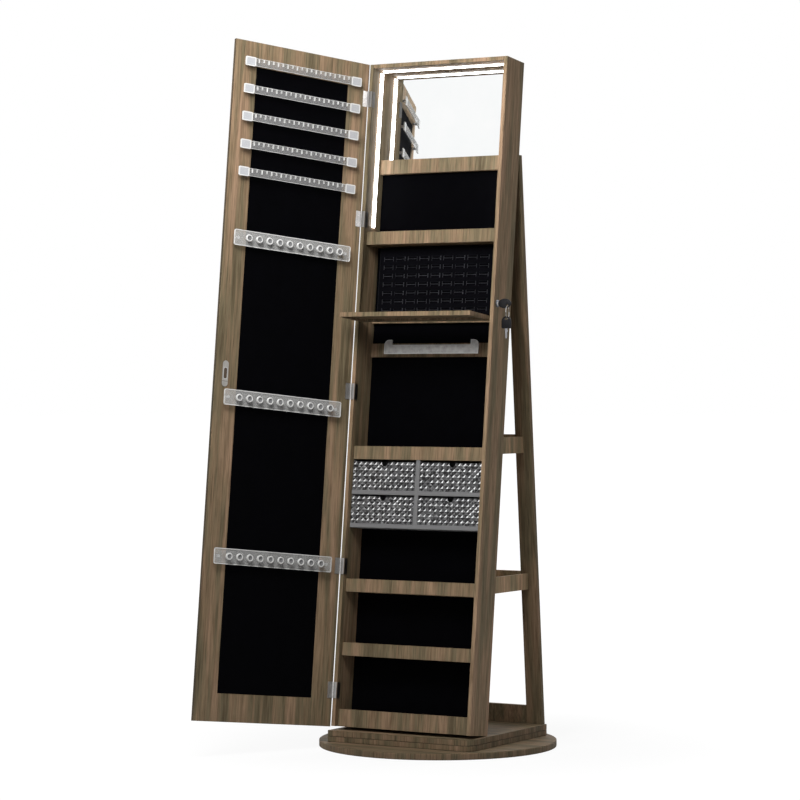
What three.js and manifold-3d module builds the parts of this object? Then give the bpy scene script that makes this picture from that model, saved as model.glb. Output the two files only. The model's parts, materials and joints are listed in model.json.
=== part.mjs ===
// Leaning jewelry armoire: a slim cabinet with a hinged door, an easel frame behind it with two
// open trays, and a turntable base. Millimetres, +Z up, origin at the centre of the floor disc's
// underside, front of the cabinet towards -Y, door hinged on the left (-X).
import * as THREE from "three";
import { mergeVertices } from "three/addons/utils/BufferGeometryUtils.js";
import Module from "manifold-3d";

const wasm = await Module();
wasm.setup();

// ---- driving dimensions ----
const GAP = 0.3; // left between pieces that touch
const MERGE = 1e-4; // vertices closer than this are one
const PAST = 1; // how far a cutter or a joined piece reaches past the face that it meets
const SIDES = { disc: 72, bearing: 40, ring: 36, round: 24, small: 16, wire: 8 }; // of round pieces
const BOARD = 9; // thickness of every cabinet board
const CABINET_WIDTH = 356;
const CABINET_DEPTH = 78;
const CABINET_HEIGHT = 1500; // measured along the lean
const LEAN = THREE.MathUtils.degToRad(6.47);
const CABINET_FOOT = [0, -168, 49.2]; // lower front edge of the cabinet, above the base
const DOOR_OPEN = THREE.MathUtils.degToRad(114.3); // how far the door stands open

const HALF = CABINET_WIDTH / 2;
const INNER = HALF - BOARD; // inner half width between the sides
const FIT = INNER - GAP; // half width of whatever spans the cabinet
const LINER_FRONT = 67; // depth of the black liner's face
const LINER_THICK = 3.2;
const LIP_FRONT = 13; // depth of the shelf lips' front faces
const LIP_THICK = 9;
const LIP_HEIGHT = 29.5;

const DISC_RADIUS = 267;
const DISC_TOP = 14.6;
const DISC_EDGE = 1; // chamfer round the disc
const BASE_HALF = 184;
const BASE_FRONT = -175;
const BASE_BACK = 178;
const BASE_CORNERS = { front_left: 4, front_right: 24, back: 4 }; // corner radii of both boards
const LOWER_BOARD = [15.1, 26.6]; // heights of the turning base's lower board
const UPPER_BOARD = [26.9, 40.1];
const BEARING = { radius: 75, plate: 1.6, path: 65, recessRadius: 80, recessTop: 22.6 };

const LEG_WIDTH = 40;
const LEG_THICK = 12;
const LEG_FOOT = [165.5, UPPER_BOARD[1] + GAP]; // front lower edge of a leg: y, z
const LEG_HEAD = [55.4, 1323.6]; // front upper edge, against the cabinet's back
const RAIL_HEIGHT = 41;
const TRAY_HALF = 158;
const TRAYS = { rear_tray_lower: [347.6, 383.6], rear_tray_upper: [656.6, 693.6] };
const TRAY_GUARD_EXTRA = 5; // how far the back guard stands above the tray's sides

const SHELF_BOTTOMS = { shelf_1: 1087, shelf_2: 599.5, shelf_3: 301, shelf_4: 158 };
const MIRROR_BOTTOM = 1289;
const LEDGE = { heights: [1256, 1288.7], front: 56 };
const PAD = { half: 150, front: 40, bottom: 924, top: 1084 };
const RING_RAIL = { heights: [913, 923.7], front: 57.5 };
const BRACELET_RAIL = { heights: [836, 867], front: 60 };
const BRACELET_BAR = { half: 122, centre: -3.3, bottom: 841.7, top: 862, front: 46, thick: 3 };
const BRACELET_EAR = { top: 873.5, width: 20, corner: 12 };
const STUD_RADIUS = 3.5; // of the studs behind the clear bars

const FLAP = { half: 167.8, front: -85, back: 9.5, bottom: 909.5, top: 919.5, rim: 10, pocket: 5 };
const FLAP_AXIS = [5.5, 914.5]; // depth and height of the pivot
const PIN_RADIUS = 2.2;
const PIN_HOLE = 2.5;
const PIN_REACH = 5; // how far a pin goes into the side panel

const HOUSING = { bottom: 445.6, top: 599.2, front: 13.3, back: 66.5, wall: 2.5, floor: 9.4, rear: 2 };
const DIVIDER_HALF = 5;
const DRAWER_ROWS = { upper: [530, 594], lower: [455.3, 516.4] };
const DRAWER_WALL = 2.5;
const DRAWER_TRAY_DROP = 6; // how far the tray's walls stay below the front's top
const FRONT_THICK = 3;
const NOTCH = { width: 17, depth: 10 };

const LED = { width: 10.4, front: 30.8, thick: 3, topWidth: 8, bottom: 1130, top: 1486, inset: 6 };
const BATTERY_BOX = { half: 55, thick: 17.7, bottom: 1345, top: 1410 };

const HINGE_AXIS = [-HALF - 0.7, -1.5]; // x and depth of the door's hinge pins
const HINGE_HEIGHTS = [1420, 1144, 751, 357, 80];
const KNUCKLE_RADIUS = 1.2;
const HINGE_LENGTH = 36;
const LEAF = { width: 13, thick: 0.8 };
const DOOR = { near: 0.2, far: 356.5, bottom: -1.5, inner: -1.6, thick: 8 };
const DOOR_FELT = { near: 55, far: 299.7, bottom: 60, top: 1444.5, recess: 1.4 };
const DOOR_MIRROR = { margin: 28, recess: 2.4 };
const EARRING_HEIGHTS = [1452, 1391, 1329, 1267, 1206];
const EARRING_BAR = { near: 28.3, far: 337, half: 10.2, waist: 8.6, back: 10.4, thick: 2.6, clip: 26 };
const NECKLACE_HEIGHTS = [1059, 706, 358];
const NECKLACE_BAR = { near: 28.9, far: 335.8, half: 17.5, back: 6.6, thick: 2.6, corner: 4, stud: 12 };
const KNOBS = { count: 10, first: 62.6, pitch: 26.6, radius: 8.25, neck: 3.4, tip: 19.1, edge: 1.5 };
const STRIKE = { along: 331.5, height: 757, half: 28.5, radius: 7.5, thick: 1.2 };

const LOCK = { depth: 14.5, height: 948, face: 8.5, faceThick: 2, barrel: 6.5, bore: 4.6 };
const KEY_HEAD = { near: HALF + 3, length: 32, half: 10.6, thick: 2.6, hole: 3 };
const KEY_EYE = { x: 204, below: 5 }; // the eye's place: x, and how far below the lock's axis
const KEY_BLADE = { half: 3.5, thick: 2 };
const KEY_RING = { radius: 14.3, wire: 0.7, turn: THREE.MathUtils.degToRad(15) };
const SPARE = { half: 11.7, headTop: 5.5, headBottom: -21.4, thick: 2.6, offset: -2.4 };
const SPARE_EYE = { half: 4.6, radius: 2.3 }; // the slot that the ring runs through
const SPARE_BLADE = { length: 22, wide: 7, narrow: 4, thick: 2 };

// ---- materials ----
const material = (name, color, roughness, metalness = 0, extra = {}) =>
  new THREE.MeshStandardMaterial({ name, color, roughness, metalness, ...extra });
const wood = material("wood", 0x75664f, 0.6);
const felt = material("felt", 0x0b0b0d, 0.95);
const pad = material("pad", 0x0c0c0f, 0.9);
const mirrorGlass = material("mirror", 0xcfd6da, 0.05, 1);
const acrylic = material("acrylic", 0xdfe4e6, 0.1, 0, { transparent: true, opacity: 0.5 });
const greyBoard = material("housing", 0x77777a, 0.6);
const light = material("light", 0xffffff, 0.4);
const steel = material("steel", 0xb9b7b2, 0.35, 1);
const chrome = material("chrome", 0xd8d8da, 0.15, 1);
const blackPlastic = material("black_plastic", 0x17181a, 0.5);

// ---- geometry helpers ----
// A box between two corners, given as ranges along x, y and z.
function slab([x0, x1], [y0, y1], [z0, z1]) {
  const box = new THREE.BoxGeometry(x1 - x0, y1 - y0, z1 - z0);
  return box.translate((x0 + x1) / 2, (y0 + y1) / 2, (z0 + z1) / 2);
}

// A cylinder from one point to another along x, y or z.
function rod(axis, radius, from, to, at, sides = SIDES.round) {
  const bar = new THREE.CylinderGeometry(radius, radius, to - from, sides);
  bar.translate(0, (from + to) / 2, 0);
  if (axis === "x") bar.rotateZ(-Math.PI / 2);
  if (axis === "z") bar.rotateX(Math.PI / 2);
  return bar.translate(...at);
}

// A solid of revolution whose axis points along +Y, from [radius, height] pairs.
function turned(profile, sides) {
  return new THREE.LatheGeometry(profile.map(([r, h]) => new THREE.Vector2(r, h)), sides);
}

// A flat outline pushed through a thickness along +Z.
function plate(shape, thickness) {
  return new THREE.ExtrudeGeometry(shape, { depth: thickness, bevelEnabled: false, curveSegments: 8 });
}

// An outline in the YZ plane pushed along x from x0 to x1.
function profileAlongX(points, x0, x1) {
  const outline = new THREE.Shape(points.map(([y, z]) => new THREE.Vector2(y, z)));
  const solid = plate(outline, x1 - x0);
  solid.applyMatrix4(new THREE.Matrix4().set(0, 0, 1, x0, 1, 0, 0, 0, 0, 1, 0, 0, 0, 0, 0, 1));
  return solid;
}

// A rectangle about the origin; the radii go round from the +x +y corner.
function roundedRectangle(halfX, halfY, radii) {
  const shape = new THREE.Shape();
  const signs = [[1, 1], [-1, 1], [-1, -1], [1, -1]];
  signs.forEach(([sx, sy], i) => {
    const start = (i * Math.PI) / 2;
    const radius = radii[i];
    shape.absarc(sx * (halfX - radius), sy * (halfY - radius), radius, start, start + Math.PI / 2);
  });
  return shape;
}

// ---- joins and cuts ----
function solidOf(geometry) {
  const bare = geometry.clone();
  bare.deleteAttribute("normal");
  bare.deleteAttribute("uv");
  const merged = mergeVertices(bare, MERGE);
  const triVerts = new Uint32Array(merged.index.array);
  const vertProperties = merged.attributes.position.array;
  return new wasm.Manifold(new wasm.Mesh({ numProp: 3, vertProperties, triVerts }));
}

function geometryOf(solid) {
  const { vertProperties, triVerts } = solid.getMesh();
  const geometry = new THREE.BufferGeometry();
  geometry.setAttribute("position", new THREE.BufferAttribute(vertProperties, 3));
  geometry.setIndex(new THREE.BufferAttribute(triVerts, 1));
  geometry.computeVertexNormals();
  return geometry;
}

function join(...pieces) {
  return geometryOf(pieces.map(solidOf).reduce((all, piece) => all.add(piece)));
}

function cut(body, ...tools) {
  return geometryOf(tools.map(solidOf).reduce((rest, tool) => rest.subtract(tool), solidOf(body)));
}

function addMesh(group, name, geometry, look) {
  const mesh = new THREE.Mesh(geometry, look.clone());
  mesh.name = name;
  group.add(mesh);
  return mesh;
}

// A plain rectangular board, placed by its centre.
function addBoard(group, name, look, [x0, x1], [y0, y1], [z0, z1]) {
  const mesh = addMesh(group, name, new THREE.BoxGeometry(x1 - x0, y1 - y0, z1 - z0), look);
  mesh.position.set((x0 + x1) / 2, (y0 + y1) / 2, (z0 + z1) / 2);
  return mesh;
}

// ---- turntable base ----
function addBase(group) {
  const discProfile = [
    [0, 0],
    [DISC_RADIUS - DISC_EDGE, 0],
    [DISC_RADIUS, DISC_EDGE],
    [DISC_RADIUS, DISC_TOP - DISC_EDGE],
    [DISC_RADIUS - DISC_EDGE, DISC_TOP],
    [0, DISC_TOP],
  ];
  addMesh(group, "floor_disc", turned(discProfile, SIDES.disc).rotateX(Math.PI / 2), wood);

  const { radius, plate: plateThick, path, recessRadius, recessTop } = BEARING;
  const lowerPlate = [DISC_TOP + GAP, DISC_TOP + GAP + plateThick];
  const upperPlate = [recessTop - GAP - plateThick, recessTop - GAP];
  const ballRadius = (upperPlate[0] - lowerPlate[1] - 2 * GAP) / 2;
  const ballHeight = (upperPlate[0] + lowerPlate[1]) / 2;
  const lower = rod("z", radius, ...lowerPlate, [0, 0, 0], SIDES.bearing);
  const upper = rod("z", radius, ...upperPlate, [0, 0, 0], SIDES.bearing);
  addMesh(group, "bearing_lower_plate", lower, steel);
  addMesh(group, "bearing_upper_plate", upper, steel);
  const race = new THREE.TorusGeometry(path, ballRadius, SIDES.wire, SIDES.bearing);
  addMesh(group, "bearing_ball_ring", race.translate(0, 0, ballHeight), steel);

  const middle = (BASE_FRONT + BASE_BACK) / 2;
  const halfDepth = (BASE_BACK - BASE_FRONT) / 2;
  const { front_left: frontLeft, front_right: frontRight, back } = BASE_CORNERS;
  const outline = roundedRectangle(BASE_HALF, halfDepth, [back, back, frontLeft, frontRight]);
  const board = ([z0, z1]) => plate(outline, z1 - z0).translate(0, middle, z0);
  const below = LOWER_BOARD[0] - PAST;
  const recess = rod("z", recessRadius, below, recessTop, [0, 0, 0], SIDES.bearing);
  addMesh(group, "base_lower_board", cut(board(LOWER_BOARD), recess), wood);
  addMesh(group, "base_upper_board", board(UPPER_BOARD), wood);
}

// ---- easel frame and trays behind the cabinet ----
// The y of the legs' front plane at a height.
function legFront(z) {
  const share = (z - LEG_FOOT[1]) / (LEG_HEAD[1] - LEG_FOOT[1]);
  return LEG_FOOT[0] + share * (LEG_HEAD[0] - LEG_FOOT[0]);
}

// The y of the cabinet's back plane at a height.
function cabinetBack(z) {
  const heightFromFoot = z - CABINET_FOOT[2];
  return CABINET_FOOT[1] + (CABINET_DEPTH + heightFromFoot * Math.sin(LEAN)) / Math.cos(LEAN);
}

// A leaning parallelogram between two heights, in the plane of the legs.
function legProfile(z0, z1) {
  return [
    [legFront(z0), z0],
    [legFront(z0) + LEG_THICK, z0],
    [legFront(z1) + LEG_THICK, z1],
    [legFront(z1), z1],
  ];
}

function addEasel(group) {
  const legTop = LEG_HEAD[1];
  const foot = LEG_FOOT[1];
  const inside = HALF - LEG_WIDTH;
  const legs = { rear_leg_left: -HALF, rear_leg_right: inside };
  for (const [name, x] of Object.entries(legs)) {
    addMesh(group, name, profileAlongX(legProfile(foot, legTop), x, x + LEG_WIDTH), wood);
  }
  const rails = { rear_bottom_rail: foot, rear_top_rail: legTop - RAIL_HEIGHT };
  for (const [name, z] of Object.entries(rails)) {
    const profile = legProfile(z, z + RAIL_HEIGHT);
    addMesh(group, name, profileAlongX(profile, -inside + GAP, inside - GAP), wood);
  }
  for (const [name, [z0, z1]] of Object.entries(TRAYS)) {
    addMesh(group, name, trayGeometry(z0, z1, inside), wood);
  }
}

// An open tray: floor and two sides between the cabinet's back and the legs, and a back guard
// standing between the legs.
function trayGeometry(z0, z1, inside) {
  const span = (low, high) => [
    [cabinetBack(low) + GAP, low],
    [legFront(low) - GAP, low],
    [legFront(high) - GAP, high],
    [cabinetBack(high) + GAP, high],
  ];
  const floor = profileAlongX(span(z0, z0 + BOARD), -TRAY_HALF, TRAY_HALF);
  const left = profileAlongX(span(z0, z1), -TRAY_HALF, -TRAY_HALF + BOARD);
  const right = profileAlongX(span(z0, z1), TRAY_HALF - BOARD, TRAY_HALF);
  const guardProfile = legProfile(z0, z1 + TRAY_GUARD_EXTRA);
  guardProfile[0][0] -= 2 * GAP;
  guardProfile[3][0] -= 2 * GAP;
  const guard = profileAlongX(guardProfile, -inside + GAP, inside - GAP);
  return join(floor, left, right, guard);
}

// ---- cabinet carcass; x, depth and height along the lean ----
function addCarcass(cabinet) {
  const full = [0, CABINET_HEIGHT];
  const depth = [0, CABINET_DEPTH];
  const top = CABINET_HEIGHT - BOARD;
  const pinHole = (x0, x1) => rod("x", PIN_HOLE, x0, x1, [0, ...FLAP_AXIS]);
  const holeDepth = PIN_REACH + PAST;
  const leftSlab = slab([-HALF, -INNER], depth, full);
  const leftSide = cut(leftSlab, pinHole(-INNER - holeDepth, -INNER + PAST));
  const lockAt = [0, LOCK.depth, LOCK.height];
  const lockHole = rod("x", LOCK.barrel + GAP, INNER - PAST, HALF + PAST, lockAt);
  const rightSlab = slab([INNER, HALF], depth, full);
  const rightSide = cut(rightSlab, pinHole(INNER - PAST, INNER + holeDepth), lockHole);
  addMesh(cabinet, "side_panel_left", leftSide, wood);
  addMesh(cabinet, "side_panel_right", rightSide, wood);
  addBoard(cabinet, "top_panel", wood, [-FIT, FIT], depth, [top, CABINET_HEIGHT]);
  const lipBack = LIP_FRONT + LIP_THICK;
  addBoard(cabinet, "bottom_panel", wood, [-FIT, FIT], [lipBack + GAP, CABINET_DEPTH], [0, BOARD]);
  const backRange = [LINER_FRONT + LINER_THICK + GAP, CABINET_DEPTH];
  addBoard(cabinet, "back_panel", wood, [-FIT, FIT], backRange, [BOARD + GAP, top - GAP]);
  const linerRange = [LINER_FRONT, LINER_FRONT + LINER_THICK];
  addBoard(cabinet, "back_liner", felt, [-FIT, FIT], linerRange, [BOARD + GAP, MIRROR_BOTTOM - GAP]);
  addBoard(cabinet, "inner_mirror", mirrorGlass, [-FIT, FIT], linerRange, [MIRROR_BOTTOM, top - GAP]);

  const rails = { ledge_rail: LEDGE, ring_rail: RING_RAIL, bracelet_rail: BRACELET_RAIL };
  for (const [name, { heights, front }] of Object.entries(rails)) {
    addBoard(cabinet, name, wood, [-FIT, FIT], [front, LINER_FRONT - GAP], heights);
  }
  for (const [name, z] of Object.entries(SHELF_BOTTOMS)) {
    addMesh(cabinet, name, shelfGeometry(z), wood);
  }
  const lipTop = BOARD + GAP + LIP_HEIGHT;
  addBoard(cabinet, "bottom_lip", wood, [-FIT, FIT], [LIP_FRONT, lipBack], [0, lipTop]);
}

// A shelf board with a taller lip along its front edge.
function shelfGeometry(bottom) {
  const back = LINER_FRONT - GAP;
  const lipBack = LIP_FRONT + LIP_THICK;
  const outline = [
    [LIP_FRONT, bottom],
    [back, bottom],
    [back, bottom + BOARD],
    [lipBack, bottom + BOARD],
    [lipBack, bottom + LIP_HEIGHT],
    [LIP_FRONT, bottom + LIP_HEIGHT],
  ];
  return profileAlongX(outline, -FIT, FIT);
}

// ---- fittings inside the cabinet ----
function addFittings(cabinet) {
  const toLiner = LINER_FRONT - GAP;
  addBoard(cabinet, "ring_cushion", pad, [-PAD.half, PAD.half], [PAD.front, toLiner], [PAD.bottom, PAD.top]);
  addMesh(cabinet, "bracelet_bar", braceletBarGeometry(), acrylic);

  const sideDepth = [LED.front, LED.front + LED.width];
  const sideHeights = [LED.bottom, LED.top];
  const onLeft = [-FIT, -FIT + LED.thick];
  const onRight = [FIT - LED.thick, FIT];
  addBoard(cabinet, "led_strip_left", light, onLeft, sideDepth, sideHeights);
  addBoard(cabinet, "led_strip_right", light, onRight, sideDepth, sideHeights);
  const underTop = CABINET_HEIGHT - BOARD - GAP;
  const topX = [-FIT + LED.inset, FIT - LED.inset];
  const topDepth = [LED.front, LED.front + LED.topWidth];
  addBoard(cabinet, "led_strip_top", light, topX, topDepth, [underTop - LED.thick, underTop]);
  const behind = CABINET_DEPTH + GAP;
  const { half, thick, bottom, top } = BATTERY_BOX;
  addBoard(cabinet, "led_battery_box", blackPlastic, [-half, half], [behind, behind + thick], [bottom, top]);

  const lockAt = [0, LOCK.depth, LOCK.height];
  const barrel = rod("x", LOCK.barrel, INNER + GAP, HALF + PAST, lockAt);
  const face = rod("x", LOCK.face, HALF + GAP, HALF + GAP + LOCK.faceThick, lockAt);
  const bore = rod("x", LOCK.bore, INNER - PAST, HALF + LOCK.faceThick + PAST, lockAt);
  addMesh(cabinet, "lock_body", cut(join(barrel, face), bore), chrome);
}

// Clear plate with raised ends, held off its rail by two studs.
function braceletBarGeometry() {
  const { half, centre, bottom, top, front, thick } = BRACELET_BAR;
  const { top: ear, width, corner } = BRACELET_EAR;
  const outline = new THREE.Shape();
  outline.moveTo(-half, bottom);
  outline.lineTo(half, bottom);
  outline.absarc(half - corner, ear - corner, corner, 0, Math.PI / 2);
  outline.lineTo(half - width, ear);
  outline.lineTo(half - width, top);
  outline.lineTo(-half + width, top);
  outline.lineTo(-half + width, ear);
  outline.absarc(-half + corner, ear - corner, corner, Math.PI / 2, Math.PI);
  const face = plate(outline, thick).rotateX(Math.PI / 2).translate(0, front + thick, 0);
  const studHeight = (bottom + top) / 2;
  const studEnd = BRACELET_RAIL.front - GAP;
  const stud = (x) => rod("y", STUD_RADIUS, front + PAST, studEnd, [x, 0, studHeight], SIDES.small);
  return join(face, stud(-half + width / 2), stud(half - width / 2)).translate(centre, 0, 0);
}

// ---- drawers ----
function housingGeometry() {
  const { bottom, top, front, back, wall, floor, rear } = HOUSING;
  const outer = slab([-FIT, FIT], [front, back], [bottom, top - GAP]);
  const cells = [];
  const cellBack = back - rear;
  const cellFront = front + FRONT_THICK + 2 * GAP;
  const lowTop = DRAWER_ROWS.upper[0] - GAP - floor;
  const heights = [
    [bottom + floor, lowTop],
    [DRAWER_ROWS.upper[0] - GAP, top + PAST],
  ];
  for (const side of [-1, 1]) {
    const range = (outerX) => [DIVIDER_HALF, outerX].map((x) => x * side).sort((a, b) => a - b);
    for (const height of heights) {
      cells.push(slab(range(FIT - wall), [front - PAST, cellBack], height));
      cells.push(slab(range(FIT + PAST), [front - PAST, cellFront], height));
    }
  }
  return cut(outer, ...cells);
}

// An open box whose wider front plate carries a round-bottomed finger notch.
function drawerGeometry(side, [low, high]) {
  const frontRange = [HOUSING.front, HOUSING.front + FRONT_THICK];
  const clear = 2 * GAP;
  const boxBack = HOUSING.back - HOUSING.rear - clear;
  const signed = (a, b) => [a * side, b * side].sort((p, q) => p - q);
  const inner = DIVIDER_HALF + clear;
  const boxOuter = FIT - HOUSING.wall - clear;
  const front = slab(signed(inner, FIT), frontRange, [low + GAP, high]);
  const boxTop = high - DRAWER_TRAY_DROP;
  const box = slab(signed(inner, boxOuter), [HOUSING.front + PAST, boxBack], [low + GAP, boxTop]);
  const cavityX = signed(inner + DRAWER_WALL, boxOuter - DRAWER_WALL);
  const cavityY = [frontRange[1], boxBack - DRAWER_WALL];
  const cavity = slab(cavityX, cavityY, [low + GAP + DRAWER_WALL, high + PAST]);
  const notchX = ((inner + FIT) / 2) * side;
  const radius = NOTCH.width / 2;
  const through = [HOUSING.front - PAST, frontRange[1] + PAST];
  const notchCentre = high - NOTCH.depth + radius;
  const notchRound = rod("y", radius, ...through, [notchX, 0, notchCentre]);
  const notchTop = [notchCentre, high + PAST];
  const notchSlot = slab([notchX - radius, notchX + radius], through, notchTop);
  return cut(join(front, box), cavity, notchRound, notchSlot);
}

function addDrawers(cabinet) {
  addMesh(cabinet, "drawer_housing", housingGeometry(), greyBoard);
  for (const [row, heights] of Object.entries(DRAWER_ROWS)) {
    addMesh(cabinet, `drawer_${row}_left`, drawerGeometry(-1, heights), acrylic);
    addMesh(cabinet, `drawer_${row}_right`, drawerGeometry(1, heights), acrylic);
  }
}

// ---- folding flap in front of the ring cushion ----
function flapGeometry() {
  const { half, front, back, bottom, top, rim, pocket: deep } = FLAP;
  const board = slab([-half, half], [front, back], [bottom, top]);
  const panelBottom = bottom + deep;
  const pocketY = [front + rim, back - 2 * rim];
  const pocket = slab([-half + rim, half - rim], pocketY, [bottom - PAST, panelBottom]);
  const pin = (x0, x1) => rod("x", PIN_RADIUS, x0, x1, [0, ...FLAP_AXIS]);
  const pinReach = INNER + PIN_REACH;
  return join(cut(board, pocket), pin(half - PAST, pinReach), pin(-pinReach, -half + PAST));
}

// ---- door; x along the door from its hinge pins, y towards the cabinet when shut ----
function addDoor(door) {
  const outer = DOOR.inner - DOOR.thick;
  const full = [DOOR.bottom, CABINET_HEIGHT];
  const feltX = [DOOR_FELT.near, DOOR_FELT.far];
  const feltZ = [DOOR_FELT.bottom, DOOR_FELT.top];
  const feltRecess = slab(feltX, [DOOR.inner - DOOR_FELT.recess, DOOR.inner + PAST], feltZ);
  const { margin, recess } = DOOR_MIRROR;
  const glassX = [DOOR.near + margin, DOOR.far - margin];
  const glassZ = [margin, CABINET_HEIGHT - margin];
  const glassRecess = slab(glassX, [outer - PAST, outer + recess], glassZ);
  const slabOfDoor = slab([DOOR.near, DOOR.far], [outer, DOOR.inner], full);
  addMesh(door, "door_panel", cut(slabOfDoor, feltRecess, glassRecess), wood);
  const inset = ([a, b]) => [a + GAP, b - GAP];
  const feltY = [DOOR.inner - DOOR_FELT.recess + GAP, DOOR.inner - GAP];
  addBoard(door, "door_felt", felt, inset(feltX), feltY, inset(feltZ));
  const glassY = [outer + GAP, outer + recess - GAP];
  addBoard(door, "door_mirror", mirrorGlass, inset(glassX), glassY, inset(glassZ));

  EARRING_HEIGHTS.forEach((z, i) => {
    const bar = addMesh(door, `earring_bar_${i + 1}`, earringBarGeometry(), acrylic);
    bar.position.z = z;
  });
  NECKLACE_HEIGHTS.forEach((z, i) => {
    const bar = addMesh(door, `necklace_bar_${i + 1}`, necklaceBarGeometry(), acrylic);
    bar.position.z = z;
  });
  HINGE_HEIGHTS.forEach((z, i) => {
    const hinge = addMesh(door, `hinge_${i + 1}`, hingeGeometry(), steel);
    hinge.position.z = z;
  });
  const round = STRIKE.radius - GAP;
  const strikeOutline = roundedRectangle(STRIKE.radius, STRIKE.half, [round, round, round, round]);
  const strike = plate(strikeOutline, STRIKE.thick).rotateX(Math.PI / 2);
  const strikePlate = addMesh(door, "strike_plate", strike, steel);
  strikePlate.position.set(STRIKE.along, DOOR.inner + GAP + STRIKE.thick, STRIKE.height);
}

// Clear bar with wide ends, on two studs.
function earringBarGeometry() {
  const { near, far, half, waist, back, thick, clip } = EARRING_BAR;
  const outline = new THREE.Shape();
  const corners = [
    [near, -half],
    [near + clip, -half],
    [near + clip, -waist],
    [far - clip, -waist],
    [far - clip, -half],
    [far, -half],
    [far, half],
    [far - clip, half],
    [far - clip, waist],
    [near + clip, waist],
    [near + clip, half],
    [near, half],
  ];
  corners.forEach(([x, y], i) => (i ? outline.lineTo(x, y) : outline.moveTo(x, y)));
  const face = plate(outline, thick).rotateX(Math.PI / 2).translate(0, back + thick, 0);
  const stud = (x) => rod("y", STUD_RADIUS, DOOR.inner + GAP, back + PAST, [x, 0, 0], SIDES.small);
  return join(face, stud(near + clip / 2), stud(far - clip / 2));
}

// Clear plate with a row of round-headed knobs, on two studs.
function necklaceBarGeometry() {
  const { near, far, half, back, thick, corner, stud: studInset } = NECKLACE_BAR;
  const centre = (near + far) / 2;
  const outline = roundedRectangle((far - near) / 2, half, [corner, corner, corner, corner]);
  const face = plate(outline, thick).rotateX(Math.PI / 2).translate(centre, back + thick, 0);
  const stud = (x) => rod("y", STUD_RADIUS, DOOR.inner + GAP, back + PAST, [x, 0, 0], SIDES.small);
  const pieces = [face, stud(near + studInset), stud(far - studInset)];
  const { count, first, pitch, radius, neck, tip, edge } = KNOBS;
  const flare = (back + thick + tip) / 2; // where the neck starts to widen into the head
  const profile = [
    [0, back + PAST],
    [neck, back + PAST],
    [neck, flare - edge],
    [radius, flare + edge],
    [radius, tip - edge],
    [radius - edge, tip],
    [0, tip],
  ];
  for (let i = 0; i < count; i += 1) {
    pieces.push(turned(profile, SIDES.small).translate(first + i * pitch, 0, 0));
  }
  return join(...pieces);
}

// One leaf and its knuckle.
function hingeGeometry() {
  const half = HINGE_LENGTH / 2;
  const knuckle = rod("z", KNUCKLE_RADIUS, -half, half, [0, 0, 0], SIDES.small);
  const leafBack = DOOR.inner + GAP;
  const leaf = slab([0, LEAF.width], [leafBack, leafBack + LEAF.thick], [-half, half]);
  return join(knuckle, leaf);
}

// ---- keys ----
function keyGeometry() {
  const { near, length, half, thick, hole } = KEY_HEAD;
  const centre = near + length / 2;
  const outline = new THREE.Shape();
  outline.absellipse(0, 0, length / 2, half, 0, 2 * Math.PI);
  const head = plate(outline, thick).rotateX(Math.PI / 2).translate(centre, thick / 2, 0);
  const eye = rod("y", hole, -thick, thick, [KEY_EYE.x, 0, -KEY_EYE.below]);
  const plug = rod("x", LOCK.bore - GAP, INNER + PAST, HALF + LOCK.faceThick, [0, 0, 0]);
  const bladeY = [-KEY_BLADE.thick / 2, KEY_BLADE.thick / 2];
  const blade = slab([HALF + PAST, near + 3 * PAST], bladeY, [-KEY_BLADE.half, KEY_BLADE.half]);
  return cut(join(head, blade, plug), eye);
}

// The world place of a point given in the cabinet's own x, depth and height.
function cabinetToWorld([x, depth, height]) {
  const point = new THREE.Vector3(x, depth, height);
  point.applyAxisAngle(new THREE.Vector3(1, 0, 0), -LEAN);
  return point.add(new THREE.Vector3(...CABINET_FOOT));
}

// The spare key: its slot is at the origin's height and it hangs down, blade below.
function spareKeyGeometry() {
  const { half, headTop, headBottom, thick } = SPARE;
  const outline = new THREE.Shape();
  outline.moveTo(-half, headBottom);
  outline.lineTo(half, headBottom);
  outline.absarc(0, headTop - half, half, 0, Math.PI);
  const { half: slotHalf, radius } = SPARE_EYE;
  const slot = new THREE.Path();
  slot.absarc(slotHalf - radius, 0, radius, Math.PI / 2, -Math.PI / 2, true);
  slot.absarc(radius - slotHalf, 0, radius, -Math.PI / 2, -1.5 * Math.PI, true);
  outline.holes.push(slot);
  const head = plate(outline, thick).rotateX(Math.PI / 2).translate(0, thick / 2, 0);
  const { length, wide, narrow, thick: bladeThick } = SPARE_BLADE;
  const blade = new THREE.Shape();
  blade.moveTo(-wide / 2, headBottom + PAST);
  blade.lineTo(-narrow / 2, headBottom - length);
  blade.lineTo(narrow / 2, headBottom - length);
  blade.lineTo(wide / 2, headBottom + PAST);
  const shank = plate(blade, bladeThick).rotateX(Math.PI / 2).translate(0, bladeThick / 2, 0);
  return join(head, shank);
}

function addKeys(group, cabinet) {
  const key = addMesh(cabinet, "key_in_lock", keyGeometry(), blackPlastic);
  key.position.set(0, LOCK.depth, LOCK.height);
  const eye = cabinetToWorld([KEY_EYE.x, LOCK.depth, LOCK.height - KEY_EYE.below]);
  const { radius, wire, turn } = KEY_RING;
  const hoop = new THREE.TorusGeometry(radius, wire, SIDES.wire, SIDES.ring).rotateY(Math.PI / 2);
  const ring = addMesh(group, "key_ring", hoop, chrome);
  ring.rotation.z = turn;
  ring.position.set(eye.x, eye.y, eye.z - radius);
  const spare = addMesh(group, "spare_key", spareKeyGeometry(), blackPlastic);
  spare.position.set(eye.x + SPARE.offset, eye.y, eye.z - 2 * radius);
}

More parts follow.
